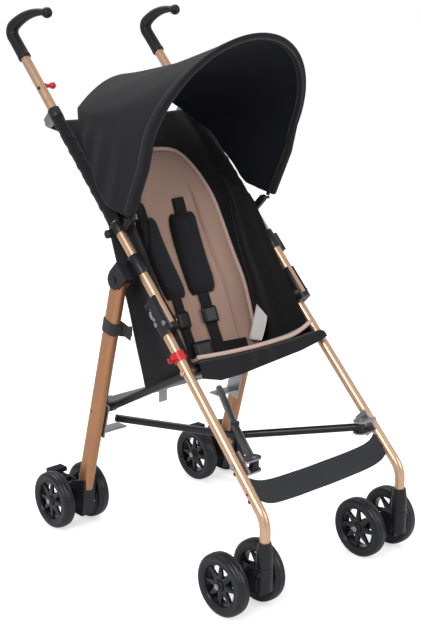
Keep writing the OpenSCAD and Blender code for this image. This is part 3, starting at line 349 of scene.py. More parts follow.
def grip_grid():
    """A circle carried up the sleeve, round a tight bend and along a wide sweep, tapering, and then
    over a ball: radius = sqrt(ball^2 - distance^2) about the hook's end."""
    first = np.radians(np.linspace(0, hook_first, 20))
    bend = np.stack([-hook_small * (1 - np.cos(first)), grip_long - 1 + hook_small * np.sin(first)], -1)
    second = np.radians(hook_first + np.linspace(0, hook_second, 28)[1:])
    turned = np.stack([np.cos(second) - np.cos(first[-1]), np.sin(second) - np.sin(first[-1])], -1)
    curve = np.concatenate([bend, bend[-1] + hook_large * turned])
    way = np.append(0, np.cumsum(np.linalg.norm(np.diff(curve, axis=0), axis=1)))
    thin = hook_wide + (hook_thin - hook_wide) * np.clip((way / way[-1] - 0.12) / 0.88, 0, 1) ** 1.15
    ahead = (curve[-1] - curve[-2]) / np.linalg.norm(curve[-1] - curve[-2])
    reach = ball_r * -np.cos(np.linspace(np.arcsin(hook_thin / ball_r) + 0.1, np.pi - 0.05, 16))
    ball = curve[-1] + reach[:, None] * ahead
    keep = way < way[-1] - np.sqrt(ball_r ** 2 - hook_thin ** 2) - 1.0
    flat = np.concatenate([np.stack([0 * sleeve_up, sleeve_up], -1), curve[keep], ball])
    sleeve = grip_out - 0.5 + 0.5 * sleeve_swell
    radius = np.concatenate([sleeve, thin[keep], np.sqrt(np.maximum(ball_r ** 2 - reach ** 2, 0.01))])
    toe = np.radians(hook_toe)
    path = handle_point(-flat[:, 0] * np.sin(toe), flat[:, 0] * np.cos(toe), grip_low + flat[:, 1])
    return carried(path, radius, 32, (1, 0, 0))


soft_black = paint("soft_black_moulding", (0.010, 0.010, 0.012), 0.46, spread=0.2, grain=900, bump=0.03,
                   specular=0.32)
for side, turned, body in sides:
    grip_parts = [rolled(on_side(grip_grid(), turned))]
    grip = skin(side + "_grip_moulding", grip_parts, [soft_black], body, weld=True)
    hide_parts(side + "_grip")

# The black fittings: glass-filled nylon mouldings with bright steel rivets. The
# pivot brackets, clips, latch housings and caster bodies are pushed on and riveted.
rivet_inner, rivet_outer = 158.47, 183.53
bright_steel = (0.30, 0.30, 0.31)


def parted(name, base, colour, region, metal_inside):
    """A copy of a finish with another colour where region(tree, place) is 1; just one of the two is metal."""
    made = base.copy()
    made.name = name
    tree = made.node_tree
    bsdf = tree.nodes["Principled BSDF"]
    mask = region(tree, node(tree, "ShaderNodeTexCoord").outputs["Object"])
    plain = bsdf.inputs["Base Color"].links[0].from_socket
    tree.links.new(mixed(tree, mask, plain, tint(colour)), bsdf.inputs["Base Color"])
    metal = mask if metal_inside else maths(tree, "SUBTRACT", 1.0, mask)
    tree.links.new(metal, bsdf.inputs["Metallic"])
    return made


def from_middle(tree, place):
    """Distance across the part from its middle plane, in metres."""
    return maths(tree, "ABSOLUTE", node(tree, "ShaderNodeSeparateXYZ", {0: place}).outputs[0])


def rivet_heads(tree, place):
    """1 where a rivet head stands out of the latch housing, on its inner or its outer side."""
    far = maths(tree, "GREATER_THAN", from_middle(tree, place), rivet_outer / 1000)
    near = maths(tree, "LESS_THAN", from_middle(tree, place), rivet_inner / 1000)
    return maths(tree, "MAXIMUM", far, near)


nylon_black = paint("nylon_black", (0.0092, 0.0096, 0.0128), 0.38, spread=0.2, grain=1100, bump=0.04,
                    specular=0.34, wear=0.1)
dress(both("pivot_bracket"), nylon_black, edge=1.2)
dress(both("latch_housing"), parted("latch_black", nylon_black, bright_steel, rivet_heads, True), edge=1.5)
dress(both("canopy_clip"), nylon_black, edge=1.5)
dress(both("caster_socket", "caster_fork", "rear_hub", "brake_pedal"), nylon_black, edge=1.8)

# The zinc pieces: pressed and plated steel brackets, the latch sliders, the
# axles and the lock bars, bright with a faint cold cast.
zinc_plate = paint("zinc_plate", (0.36, 0.37, 0.39), 0.34, 0.9, spread=0.04, grain=260, bump=0.015)
dress(both("latch_slider", "front_x_bracket", "rear_bracket"), zinc_plate, edge=0.5)
dress(both("front_axle", "rear_axle", "lock_bar"), zinc_plate, edge=0.5)
collar_r = 12.56
collar_black = (0.010, 0.010, 0.012)


def near_tube(tree, place):
    """1 within the collar's radius of the handle tube's axis."""
    beside = maths(tree, "SUBTRACT", from_middle(tree, place), side_x / 1000)
    square = {0: place, 1: (0, handle_sin, -handle_cos)}
    deep = node(tree, "ShaderNodeVectorMath", square, operation="DOT_PRODUCT").outputs["Value"]
    axis = ((foot_y - middle_y) * handle_sin - foot_z * handle_cos) / 1000
    behind = maths(tree, "SUBTRACT", deep, axis)
    both_ways = node(tree, "ShaderNodeCombineXYZ", {0: beside, 1: behind}).outputs[0]
    far = node(tree, "ShaderNodeVectorMath", {0: both_ways}, operation="LENGTH").outputs["Value"]
    return maths(tree, "LESS_THAN", far, collar_r / 1000)


dress(both("brace_bracket"), parted("zinc_and_collar", zinc_plate, collar_black, near_tube, False), edge=0.6)

# The crossed bars under the seat and behind the back, and the seat tubes: steel
# tube and flat bar, painted black and riveted at their ends.
black_steel = paint("black_steel_paint", (0.009, 0.009, 0.010), 0.33, spread=0.2, grain=300, bump=0.02,
                    specular=0.42)
dress(both("lower_bar", "back_brace"), black_steel, edge=0.5)
dress(both("seat_tube"), black_steel, edge=0)

# The wheels: a soft black tyre with a ribbed tread on a moulded wheel with eight
# tapered spokes and a plain hub.
wheel_r, tyre_wide, rim_r = 58.75, 28.0, 43.25
shoulder_in, shoulder_low, shoulder_up = 7.2, 8.2, 7.6
bead = np.array([(-2.2, -1.6), (-0.6, 0.4), (-0.1, 1.2), (-0.1, 2.4), (-0.6, 2.9), (-0.1, 3.4)])
tread = np.array([(6.6, -0.35), (6.2, -0.45), (5.9, -1.6), (4.9, -1.6), (4.6, -0.2), (2.0, 0)])
tyre_rubber = paint("tyre_rubber", (0.0095, 0.0102, 0.0135), 0.36, spread=0.2, grain=700, bump=0.03,
                    specular=0.42)
wheel_nylon = paint("wheel_nylon", (0.008, 0.0085, 0.0115), 0.24, spread=0.15, grain=500, bump=0.02,
                    specular=0.42)


def lathe(profile, count):
    """A closed outline of (distance along the axle, radius) points, turned about the axle along x."""
    x, radius = np.asarray(profile, float).T
    angle = circle(count)[:, None]
    return np.stack([np.broadcast_to(x, (count, len(x))), np.cos(angle) * radius, np.sin(angle) * radius], -1)


def with_mirror(half_outline):
    """Half of a turned outline, and its mirror image on the other side."""
    return np.concatenate([half_outline, half_outline[::-1] * [-1, 1]])


def tyre_outline():
    """Half of the tyre from the rim over the shoulder to the tread with two grooves, its mirror image,
    and the flat seat on the rim."""
    half = tyre_wide / 2
    turn = np.radians(np.linspace(0, 78, 8))
    shoulder_x = half - shoulder_in * (1 - np.cos(turn))
    shoulder_r = wheel_r - shoulder_low + shoulder_up * np.sin(turn)
    shoulder = np.stack([shoulder_x, shoulder_r], -1)
    outer = np.concatenate([bead + [half, rim_r], shoulder, tread + [0, wheel_r]])
    return np.concatenate([with_mirror(outer), [[-half + 3.0, rim_r - 2.0], [half - 3.0, rim_r - 2.0]]])


spokes, spoke_square = 8, 0.45
spoke_out = np.array([9.0, 12, 16, 21, 27, 33, 37, 40.5])
spoke_wide = np.interp(spoke_out, [9, 17, 41], [12.0, 12.5, 4.0]) / 2
spoke_deep = np.interp(spoke_out, [9, 41], [8.0, 5.5]) / 2


def squared(wave):
    """A wave from -1 to 1 with its slopes steepened, so that a circle becomes a rounded square."""
    return np.sign(wave) * np.abs(wave) ** spoke_square


def spoke_grid(number, shift):
    """A rounded bar from the hub out to the rim, its width falling from 12.5 to 4 and its depth from
    8 to 5.5 mm; shift moves it along the axle."""
    turn = circle(16)
    x = shift + spoke_deep[:, None] * squared(np.cos(turn))
    aside = spoke_wide[:, None] * squared(np.sin(turn))
    out = spoke_out[:, None]
    angle = 2 * np.pi * number / spokes
    y = out * np.cos(angle) - aside * np.sin(angle)
    z = out * np.sin(angle) + aside * np.cos(angle)
    return np.stack([x, y, z], -1)


rim_half = np.array([(12.4, 42.8), (13.2, 41.9), (13.0, 40.6), (11.6, 39.2), (9.6, 38.3), (6.0, 37.8)])
rim_outline = np.concatenate([with_mirror(rim_half), [(0, 43.0)]])
hub_half = np.array([(14.0, 4.05), (14.0, 8.6), (13.2, 10.2), (11.8, 11.0), (6.0, 11.6), (5.2, 13.6)])
hub_outline = with_mirror(hub_half)
star_out = 6.0
caster_x, caster_y, trail, front_twin = 180.03, -362.9, 58.5, 43.5
rear_x, rear_axle_y, rear_twin = 193.0, 200.2, 42.5
wheel_places = (("front", caster_x, front_twin, caster_y + trail), ("rear", rear_x, rear_twin, rear_axle_y))
for side, way in (("right", -1), ("left", 1)):
    for which, offset in (("outer", 1), ("inner", -1)):
        for end, x, twin, y in wheel_places:
            name = side + "_" + end + "_wheel_" + which
            centre = np.array([way * (x + offset * twin), y, wheel_r])
            parts = [ringed(lathe(tyre_outline(), 96) + centre)]
            parts += [ringed(lathe(rim_outline, 96) + centre, 1), ringed(lathe(hub_outline, 40) + centre, 1)]
            parts += [rolled(spoke_grid(k, star_out * way * offset) + centre, 1) for k in range(spokes)]
            finishes = [tyre_rubber, wheel_nylon]
            wheel = skin(name + "_tyre_and_rim", parts, finishes, name, weld=True)
            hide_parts(name)

# The red carry catch: a mushroom pin on the right handle and the open clip on
# the right front leg that holds it when the stroller is folded. Red acetal.
red_acetal = paint("red_acetal", (0.55, 0.012, 0.016), 0.3, grain=800, wear=0.1)
dress(["carry_catch"], red_acetal, edge=0)

# The footrest: a dark grey reinforced band, hung between the front legs and
# bowed back in the middle, narrower there than at its ends.
foot_half, foot_high, foot_at, foot_bow, leg_back, leg_top = 167.0, 60.0, 395.0, 16.0, 22.0, 58.0
stitch_pitch, stitch_long = 0.0042, 0.0028


def woven(name, colour, thread=0.0012, rough=0.8, spread=0.2, sheen=0.1, bump=0.2, seams=(), wrinkle=0.0,
          specular=0.15):
    """A plain weave on the piece's own UV map in metres: two crossed waves of the thread's pitch make
    the bump and a small change of colour, and a broad noise fades the dye. Each seam is
    (axis, place, width): a sunk line with stitches across it."""
    made = bpy.data.materials.new(name)
    made.use_nodes = True
    tree = made.node_tree
    bsdf = tree.nodes["Principled BSDF"]
    cut = node(tree, "ShaderNodeUVMap", uv_map="cut").outputs[0]
    solid = node(tree, "ShaderNodeTexCoord").outputs["Object"]
    waves = {"Vector": cut, "Scale": 0.314 / thread}
    warp = node(tree, "ShaderNodeTexWave", waves, bands_direction="X").outputs["Fac"]
    weft = node(tree, "ShaderNodeTexWave", waves, bands_direction="Y").outputs["Fac"]
    weave = maths(tree, "MULTIPLY", warp, weft)
    fade = noise(tree, solid, 9.0, 5.0, roughness=0.6)
    tone = maths(tree, "MULTIPLY_ADD", fade, weave, maths(tree, "MULTIPLY", weave, 0.25))
    shade = two_tone(tree, tone, colour, spread, 0.2, 0.85)
    height = weave
    split = node(tree, "ShaderNodeSeparateXYZ", {0: cut}).outputs
    for axis, at, wide in seams:
        gap = maths(tree, "ABSOLUTE", maths(tree, "SUBTRACT", split[axis], at))
        line = laid_over(tree, gap, 0.0, wide, 1.0, 0.0)
        beat = maths(tree, "PINGPONG", split[1 - axis], stitch_pitch)
        thread_on = maths(tree, "MULTIPLY", line, maths(tree, "LESS_THAN", beat, stitch_long))
        shade = mixed(tree, thread_on, shade, tint(colour, 1.7, 0.01))
        height = maths(tree, "ADD", height, maths(tree, "MULTIPLY", line, -2.5))
    tree.links.new(shade, bsdf.inputs["Base Color"])
    if wrinkle > 0:
        crease = noise(tree, solid, 26.0, 3.0, distortion=1.2)
        height = maths(tree, "ADD", height, maths(tree, "MULTIPLY", crease, wrinkle))
    relief = node(tree, "ShaderNodeBump", {"Height": height, "Strength": bump, "Distance": 0.0008})
    tree.links.new(relief.outputs[0], bsdf.inputs["Normal"])
    bsdf.inputs["Roughness"].default_value = rough
    bsdf.inputs["Sheen Weight"].default_value = sheen
    bsdf.inputs["Sheen Roughness"].default_value = 0.5
    bsdf.inputs["Specular IOR Level"].default_value = specular
    return made


def thicken(piece, thick, offset=-1.0, smooth=1):
    """Gives a sheet its thickness in millimetres and one smoothing step."""
    if smooth:
        soft = piece.modifiers.new("soft", "SUBSURF")
        soft.levels = soft.render_levels = smooth
    wall = piece.modifiers.new("wall", "SOLIDIFY")
    wall.thickness = thick / 1000
    wall.offset = offset


def fold_up(piece):
    """Gives the piece a mesh of its own."""
    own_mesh(piece)


def foot_point(x, t, off):
    """The footrest's band: t runs down the front leg, and the band bows back by 16 (1 - (x / 167)^2)."""
    deep = leg_back + foot_bow * (1 - (x / foot_half) ** 2) + off
    return handle_point(side_x + x, deep, leg_top - t)


x, t = mesh_of(foot_half * span(49), span(13) * foot_high / 2)
outward = np.abs(x / foot_half)
t = t * np.where(t > 0, 1 - 0.45 * outward ** 9, 0.5 + 0.5 * outward ** 10)
edge_curl = 2.2 * np.abs(t / (foot_high / 2)) ** 6
t = t + foot_at
ripple = 0.8 * np.sin(x / 17) * np.sin(t / 13 + x / 60)
slate_band = woven("slate_band", (0.021, 0.023, 0.027), thread=0.0016, rough=0.6, spread=0.15, sheen=0.05,
                   specular=0.3, seams=[(1, 0.006, 0.0009), (1, 0.054, 0.0009)])
foot_parts = [open_sheet(foot_point(x, t, edge_curl + ripple))]
foot_band = skin("footrest_band", foot_parts, [slate_band], "right_side")
thicken(foot_band, 2.4, offset=0.0)
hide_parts("footrest")
fold_up(foot_band)

# The canopy bow: a black spring rod in the front hem, with its ends at the
# pins of the canopy clips.
hood_x, hood_side, hood_rise, hood_lean = 187.0, 170.0, 205.0, np.radians(26.0)
hood_y, hood_z = 13.01, 663.05
arch_y, arch_z, arch_side, arch_rise = 242.0, 840.0, 6.0, 61.0
arch_in, arch_turn = 0.348, 2.5
arc_long = hood_rise * 1.55
hem_share, seam_share, off_middle = 0.985, 0.975, 1e-9
bow_in, bow_r, hood_hold = 8.6, 4.0, 179.0


def bow_shape(q):
    """Half width and height of the bow at q from -1 to 1: straight sides, then a quarter of an
    ellipse each."""
    s = np.abs(q) * (hood_side + arc_long)
    turn = np.clip(s / arc_long, 0, 1) * np.pi / 2
    wide = np.where(s > arc_long, hood_x, hood_x * np.sin(turn))
    high = np.where(s > arc_long, hood_side - (s - arc_long), hood_side + hood_rise * np.cos(turn))
    return wide, high


def crown_share(high):
    """0 on the straight sides of the bow, rising to 1 at its top."""
    return np.clip((high - hood_side) / hood_rise, 0, 1)


def bow_point(q, off):
    """A point of the front hem, set in by off, on the plane that leans forward by 26 degrees."""
    wide, high = bow_shape(q)
    high = high - off * crown_share(high)
    x = np.sign(q) * wide * (1 - off / hood_x)
    return np.stack([x, hood_y - high * np.sin(hood_lean), hood_z + high * np.cos(hood_lean)], -1)


def arch_point(q, off):
    """A point of the rear hem, a low arch in an upright plane."""
    wide, high = bow_shape(q)
    low_rise = arch_side * np.maximum(high, 0) / hood_side
    top_rise = arch_side + arch_rise * ((high - hood_side) / hood_rise) ** 2
    rise = np.where(high <= hood_side, low_rise, top_rise)
    x = np.sign(q) * wide * (1 - off / hood_x)
    return np.stack([x, np.full_like(wide, arch_y), arch_z + rise - off * crown_share(high)], -1)


bow_path = bow_point(hem_share * span(120) + off_middle, bow_in)
bow_parts = [rolled(carried(bow_path, bow_r, 14, (0, 0.9, 0.44)))]
bow = skin("canopy_bow_rod", bow_parts, [black_steel], "canopy", weld=True)
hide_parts("canopy_bow")
fold_up(bow)

# The canopy: black polyester, one piece from the front hem on the bow to the
# rear edge, sewn with a doubled front band and a seam across behind it.
hem_f = np.array([0, 0.1, 0.185, 0.30, 0.373, 0.44, 0.54, 0.62, 0.68, 1.0])
hem_drop = np.array([0, 14, 26, 39, 35, 27, 15, 6, 0, 0.0])
hood_hollow, hood_pull, hood_ripple, hem_reach = 12.0, 1.6, 1.0, 12.0


def hood_point(f, q, off):
    """Between bow and rear arch in a straight line, narrower by 0.348 f^2.5 towards the rear, with a slight
    hollow between the hoops, a drop of the lower hem, a front edge that reaches past the rod lower down,
    and soft folds that run from the clips."""
    wide, high = bow_shape(q)
    low = np.maximum(0, 1 - high / hood_side)
    flat = bow_point(q, off) * (1 - f[..., None]) + arch_point(q, off) * f[..., None]
    reach = np.clip(f, 0, 1)
    middle = np.sin(np.pi * reach)
    drop = np.interp(reach, hem_f, hem_drop) * low ** 2
    hollow = hood_hollow * middle * np.clip(1 - low, 0, 1)
    pull = hood_pull * middle * np.sin(9 * f * np.pi + 5 * np.abs(q)) * np.clip(low * 1.3, 0, 1)
    sunk = hollow + hood_ripple * np.sin(23 * q + 9 * f) * middle
    top = crown_share(high)
    flat[..., 2] -= drop + sunk * top
    flat[..., 1] -= hem_reach * np.clip(low / 0.35, 0, 1) * np.clip(1 - 2 * reach, 0, 1) ** 2
    flat[..., 0] -= np.sign(q) * (wide * arch_in * reach ** arch_turn + sunk * (1 - top) + pull)
    return flat


f, q = mesh_of(unit(49), hem_share * span(129) + off_middle)
hood_black = woven("hood_black", (0.012, 0.012, 0.0145), rough=0.82, sheen=0.07, wrinkle=2.5,
                   seams=[(0, 0.09, 0.0010)])
# The inside of the canopy is the same cloth as the outside, painted with shade: a bluer tint, less sheen and
# less specular, standing in for the shade under the hood.
hood_inside_painted_shade = woven("hood_inside_painted_shade", (0.011, 0.012, 0.017), rough=0.85, sheen=0.06, wrinkle=2.5, specular=0.08)
hood_parts = [open_sheet(hood_point(f, q, 0.0)[:, ::-1])]
hood = skin("canopy_cover", hood_parts, [hood_black, hood_inside_painted_shade], "canopy")
thicken(hood, 1.4)
# The inner faces of the wall take the second finish, the painted-shade copy of the cloth.
hood.modifiers["wall"].material_offset = 1
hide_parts("canopy")
fold_up(hood)
band_f = np.array([0.05, 0.03, 0.012, -0.006, -0.014, -0.012, -0.004, 0.012, 0.035, 0.06])
band_off = np.array([3.6, 7.0, 13.6, 13.4, 9.0, 3.0, -0.6, -1.1, -0.9, -0.5])
way, q = mesh_of(np.arange(len(band_f)), seam_share * span(161) + off_middle)
band_black = woven("band_black", (0.013, 0.013, 0.0155), sheen=0.07,
                   seams=[(0, 0.052, 0.0008), (0, 0.060, 0.0008)])
band_parts = [open_sheet(hood_point(band_f[way], q, band_off[way]))]
band = skin("canopy_front_band", band_parts, [band_black], "canopy")
thicken(band, 0.9, offset=0.0)
fold_up(band)

# The seat back: a black polyester sling, sewn into sleeves round the handle
# tubes, hollow between them, with side wings down to the front of the seat.
back_y = np.array([248, 170, 112, 90, 68, 42, 16, -7.2])
back_z = np.array([824, 745, 672, 611, 551, 490, 408, 343.6])
back_line = np.stack([back_y, back_z], -1)
sag_line = np.array([6, 7, 27, 36, 34, 31, 26, 20.0])
sling_half, sling_hold = 158.0, 150.0


def eased(points, f):
    """A smooth curve through evenly spaced points: at f the two nearest points and their slopes are
    blended by cubics."""
    points = np.asarray(points, float).reshape(len(points), -1)
    last = len(points) - 1
    g = np.clip(f, 0, 1) * last
    i = np.minimum(g.astype(int), last - 1)
    t = (g - i)[..., None]
    slope = np.gradient(points, axis=0)
    start = points[i] * (1 + 2 * t) * (1 - t) ** 2 + slope[i] * t * (1 - t) ** 2
    return start + points[i + 1] * t ** 2 * (3 - 2 * t) + slope[i + 1] * t ** 2 * (t - 1)


def on_line(line, f, x, off):
    """A point across the part at x, standing off the side profile at f along its normal."""
    p = eased(line, f)
    d = eased(line, np.clip(f + 0.03, 0, 1)) - eased(line, np.clip(f - 0.03, 0, 1))
    d /= np.linalg.norm(d, axis=-1, keepdims=True)
    return np.stack([x, p[..., 0] + d[..., 1] * off, p[..., 1] - d[..., 0] * off], -1)


def back_point(f, x, off):
    """The sling: the side profile, hollowed by sag(f) (1 - (x / 158)^2)^2, and off in front of it."""
    hollow = eased(sag_line, f)[..., 0] * np.clip(1 - (x / sling_half) ** 2, 0, 1) ** 2
    return on_line(back_line, f, x, off - hollow)


f, x = mesh_of(unit(61), sling_half * span(49))
x = x * (1 + 0.05 * np.clip((0.36 - f) / 0.1, 0, 1))
inward = np.clip(1 - np.abs(x) / sling_half, 0, 1)
creases = 1.2 * np.sin(x / 11 + 6 * f) * np.sin(f * 37) * inward ** 0.5
seat_black = woven("seat_black", (0.012, 0.012, 0.014), sheen=0.12, wrinkle=3.0)
sling_parts = [open_sheet(back_point(f, x, creases - 0.5))]
sling = skin("seat_back_sling", sling_parts, [seat_black], "right_side")
thicken(sling, 1.6)
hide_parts("seat_sling")
fold_up(sling)

wing_top, wing_long, wing_x, wing_out, wing_droop = 236.0, 314.0, 156.6, 1.2, 12.0
wing_belly, wing_folds, wing_from = 5.0, 3.0, 0.23
wing_front_u = np.array([236, 207, 155, 119, 69, 3, -40, -78.0])
wing_front_b = np.array([-30, -29, -20, -10, -2, 10, 12, 12.0])


def wing_grid():
    """From the front edge, which runs inside the tube and leg, back to the sling's edge; it bellies
    inwards between them with two long folds."""
    row, way = mesh_of(unit(49), unit(25))
    up = wing_top - wing_long * row
    back = np.interp(up, wing_front_u[::-1], wing_front_b[::-1])
    front = handle_point(0 * up, back, up)
    edge = on_line(back_line, wing_from + (1 - wing_from) * row, 0 * row, 0 * row)
    grid = front * (1 - way[..., None]) + edge * way[..., None]
    middle = np.sin(np.pi * way)
    folds = wing_folds * middle * np.sin(way * 11 + row * 2.5) * np.sin(np.pi * row)
    grid[..., 2] -= wing_droop * row ** 10
    grid[..., 0] = -(wing_x + wing_out * way ** 4 - wing_belly * middle ** 1.2 - folds)
    return grid


sleeve_low, sleeve_high, sleeve_r, sleeve_in, seam_gap = 236.0, 489.0, 11.4, 21.0, 1.8


def sleeve_grid():
    """A loose oval sleeve round the handle tube, drawn back to the sling's edge along its seam; its radius
    ripples where the cloth is gathered."""
    up, turn = mesh_of(np.linspace(sleeve_low, sleeve_high, 70), circle(28))
    level = np.clip((sleeve_high - up) / (sleeve_high - sleeve_low), 0, 1) * 0.33
    ripple = 0.45 * np.sin(up / 5.2 + 2 * np.sin(turn)) + 0.35 * np.sin(up / 3.1 + turn * 3)
    across = (sleeve_r + ripple) * np.sin(turn)
    deep = -(sleeve_r + ripple) * np.cos(turn)
    tail = np.clip(-np.cos(turn), 0, 1) ** 3
    deep = np.where(deep > 0, deep * 2.0, deep)
    line = eased(back_line, level)
    target = (line[..., 0] - foot_y) * handle_sin - (line[..., 1] - foot_z) * handle_cos
    deep = deep + tail * np.maximum(target - seam_gap - deep, 0)
    across = across * (1 - 0.55 * tail) + tail * sleeve_in
    return handle_point(across, deep, up)


for side, turned, body in sides:
    wing_parts = [open_sheet(on_side(wing_grid(), turned))]
    wing = skin(side + "_seat_wing", wing_parts, [seat_black], "right_side")
    thicken(wing, 1.5, offset=0.0)
    fold_up(wing)
    sleeve_parts = [rolled(on_side(sleeve_grid(), turned))]
    sleeve = skin(side + "_seat_sleeve", sleeve_parts, [seat_black], body)
    thicken(sleeve, 1.0, offset=1.0, smooth=0)

# The seat: the same cloth stretched from the foot of the back over the seat tubes
# to a turned front edge, where it hangs in a loose creased valance.
base_y = np.array([-8, -60, -110, -150, -168, -173.0])
base_z = np.array([343.3, 371.3, 398.1, 419.9, 417.1, 394.6])
base_line = np.stack([base_y, base_z], -1)
base_half, base_hold, base_hollow, hollow_half = 156.0, 147.0, 10.0, 140.0
skirt_x = np.array([-156, -110, -55, 9, 99, 149, 172.0])
skirt_z = np.array([394, 381, 381, 387, 396, 406, 413.0])
skirt_ripple, corner_lift, corner_out = 2.2, 14.0, 0.09


def base_point(f, x, off):
    """The seat: its side profile, hollowed by 10 (1 - (x / 140)^2)(1 - 0.7 f), and off above it."""
    hollow = base_hollow * np.clip(1 - (x / hollow_half) ** 2, 0, 1) * (1 - 0.7 * f)
    return on_line(base_line, f, x, off - hollow)


f, x = mesh_of(unit(49), base_half * span(65))
front = np.clip((f - 0.62) / 0.38, 0, 1)
ripple = skirt_ripple * front * np.sin(x / 14 + 3 * np.sin(x / 37)) * np.sin(np.pi * front)
base_grid = base_point(f, x, ripple)
base_grid[..., 2] += front * np.clip((x - 60) / 100, 0, 1) ** 2 * corner_lift
base_grid[..., 0] *= 1 + corner_out * front * np.clip(x / base_half, 0, 1) ** 3
hang = np.clip((f - 0.8) / 0.2, 0, 1)
base_grid[..., 2] += hang * (np.interp(base_grid[..., 0], skirt_x, skirt_z) - base_grid[-1, :, 2])
seat = skin("seat_base_cover", [open_sheet(base_grid)], [seat_black], "right_side")
thicken(seat, 1.8)
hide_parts("seat_base")
fold_up(seat)

# The liner: a thin padded insert in taupe knit, bound with a paler piping, with
# a seam on each side where its wings turn forward. It is laid in the sling.
liner_edge_f = np.array([0.118, 0.122, 0.138, 0.183, 0.228, 0.281, 0.411, 0.566, 0.702, 0.784, 1.0])
liner_edge_x = np.array([0, 50, 76, 94, 105, 111, 124, 132, 139, 142, 142.0])
liner_top, liner_thick, liner_edge, liner_seam, liner_gap, least_half = 0.118, 15.0, 2.0, 7.0, 0.8, 20.0
seat_from, seat_to, seat_puff, lip_lift = 0.02, 0.6, 11.0, 22.0
seat_half, lip_half = 141.0, 147.0
piping_r, piping_up = 4.3, 6.0
taupe_knit = woven("taupe_knit", (0.43, 0.28, 0.22), thread=0.0016, rough=0.85, spread=0.08, sheen=0.2)
taupe_piping = woven("taupe_piping", (0.60, 0.44, 0.375), rough=0.75, spread=0.06, sheen=0.2, bump=0.15)


def liner_half(f):
    """Half width of the liner at f down the back: a rounded top, widening to the seat; a mean over a short
    stretch of the measured outline keeps it smooth."""
    reach = np.clip((f - liner_top) * 0.5, 0, 0.06)
    return sum(np.interp(f + share * reach, liner_edge_f, liner_edge_x) for share in span(9)) / 9


def puffed(across, power):
    """A rounded crown over -1 to 1: the root of 1 - |across|^power."""
    return np.clip(1 - np.abs(across) ** power, 0, 1) ** 0.5


def liner_rise(f, across):
    """Thickness of the padding at a share across from -1 to 1: full in the middle, pulled down at the
    edge and along a seam that runs from 0.58 to 0.72 of the half width."""
    top = np.clip((f - liner_top) / 0.05, 0, 1) ** 0.5
    groove = np.exp(-((np.abs(across) - 0.54 - 0.18 * f) / 0.022) ** 2)
    seam = liner_seam * groove * np.clip((f - 0.2) / 0.1, 0, 1)
    return liner_edge + (liner_thick - liner_edge) * puffed(across, 5) * top - seam


def closed_pad(top, bottom):
    """A pad's upper and lower skins in one band of rows, closed round the sides."""
    return np.concatenate([top, bottom[:, ::-1]], axis=1)


def lip(x):
    """How far the left front corner of the liner's seat turns up."""
    return lip_lift * np.clip((x - 80) / 80, 0, 1) ** 2


f, across = mesh_of(liner_top + (1 - liner_top) * unit(91) ** 1.25, span(161))
x = across * np.maximum(liner_half(f), least_half)
liner_grid = closed_pad(back_point(f, x, liner_rise(f, across)), back_point(f, x, liner_gap + 0 * f))
liner = skin("liner_back_pad", [rolled(liner_grid)], [taupe_knit], "right_side")
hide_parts("liner")
fold_up(liner)
g, across = mesh_of(np.linspace(seat_from, seat_to, 50), span(73))
x = across * np.interp(g, [0, seat_to], [seat_half, lip_half])
along = 2 * (g - seat_from) / (seat_to - seat_from) - 1
seat_rise = liner_edge + seat_puff * puffed(across, 6) * puffed(along, 6)
seat_grid = closed_pad(base_point(g, x, seat_rise), base_point(g, x, liner_gap + 0 * g))
corner_turn = np.clip((g - 0.3) / 0.3, 0, 1) * lip(x)
seat_grid[..., 2] += closed_pad(corner_turn, corner_turn)
liner_seat = skin("liner_seat_pad", [rolled(seat_grid)], [taupe_knit], "right_side")
fold_up(liner_seat)
down = np.concatenate([np.linspace(0.98, 0.19, 60), np.linspace(0.18, liner_top, 24)])
right_edge = back_point(down, -liner_half(down), piping_up + 0 * down)
left_edge = mirror_x(right_edge)
piping_grid = carried(np.concatenate([right_edge, left_edge]), piping_r, 12, (0, -0.6, 0.8))
piping = skin("liner_piping", [rolled(piping_grid)], [taupe_piping], "right_side", weld=True)
fold_up(piping)
run = lip_half * span(80)
lip_path = base_point(np.full(80, seat_to), run, piping_up + 0 * run)
lip_path[:, 2] += lip(run)
lip_parts = [rolled(carried(lip_path, piping_r, 12, (0, -0.6, 0.8)))]
lip_piping = skin("liner_front_piping", lip_parts, [taupe_piping], "right_side", weld=True)
fold_up(lip_piping)

# The harness: two padded shoulder straps in black cloth on webbing that comes
# through slots in the liner, plastic adjusters, a waist belt and a buckle.
pad_size = dict(half=30, thick=20, lift=1.0, grid=(48, 25), crown=2.4)
upper_size = dict(half=13, thick=2.0, lift=1.5, grid=(10, 5))
lower_size = dict(half=12, thick=2.0, lift=2.5, grid=(16, 5))
adjuster_size = dict(half=18, thick=4.5, lift=5.5, grid=(12, 11), crown=5.0)
buckle_size = dict(half=27, thick=9.0, lift=6.0, grid=(14, 13), crown=5.0)
slot_size = dict(half=17, thick=0.3, lift=0.2, grid=(4, 9))
belt_half, belt_thick, belt_lift, least_thick = 0.021, 2.2, 3.0, 0.6
web_black = woven("web_black", (0.010, 0.010, 0.012), thread=0.0022, rough=0.6, bump=0.3)
pad_black = woven("pad_black", (0.0085, 0.009, 0.0115), thread=0.0011, rough=0.7, specular=0.25, wrinkle=1.5)


def ground(f, x):
    """Height of the liner's padding at a place on the back."""
    return liner_rise(f, x / np.maximum(liner_half(f), least_half))


def lying(down, beside, half, thick, lift, grid, crown=0):
    """A strip on the liner from the first share down the back to the second, and from the first x to the
    second: its upper skin is crowned across and along by the crown's power, and its lower skin lies
    on the padding."""
    way, across = mesh_of(unit(grid[0]), span(grid[1]))
    f = down[0] + (down[1] - down[0]) * way
    along = 2 * way - 1
    trim = 1 - 0.22 * np.abs(along) ** 12 if crown else 1.0
    x = beside[0] + (beside[1] - beside[0]) * way + half * trim * across
    body = puffed(across, crown) * puffed(along, 3 * crown) if crown else 1.0
    low = ground(f, x) + lift
    return closed_pad(back_point(f, x, low + least_thick + thick * body), back_point(f, x, low))


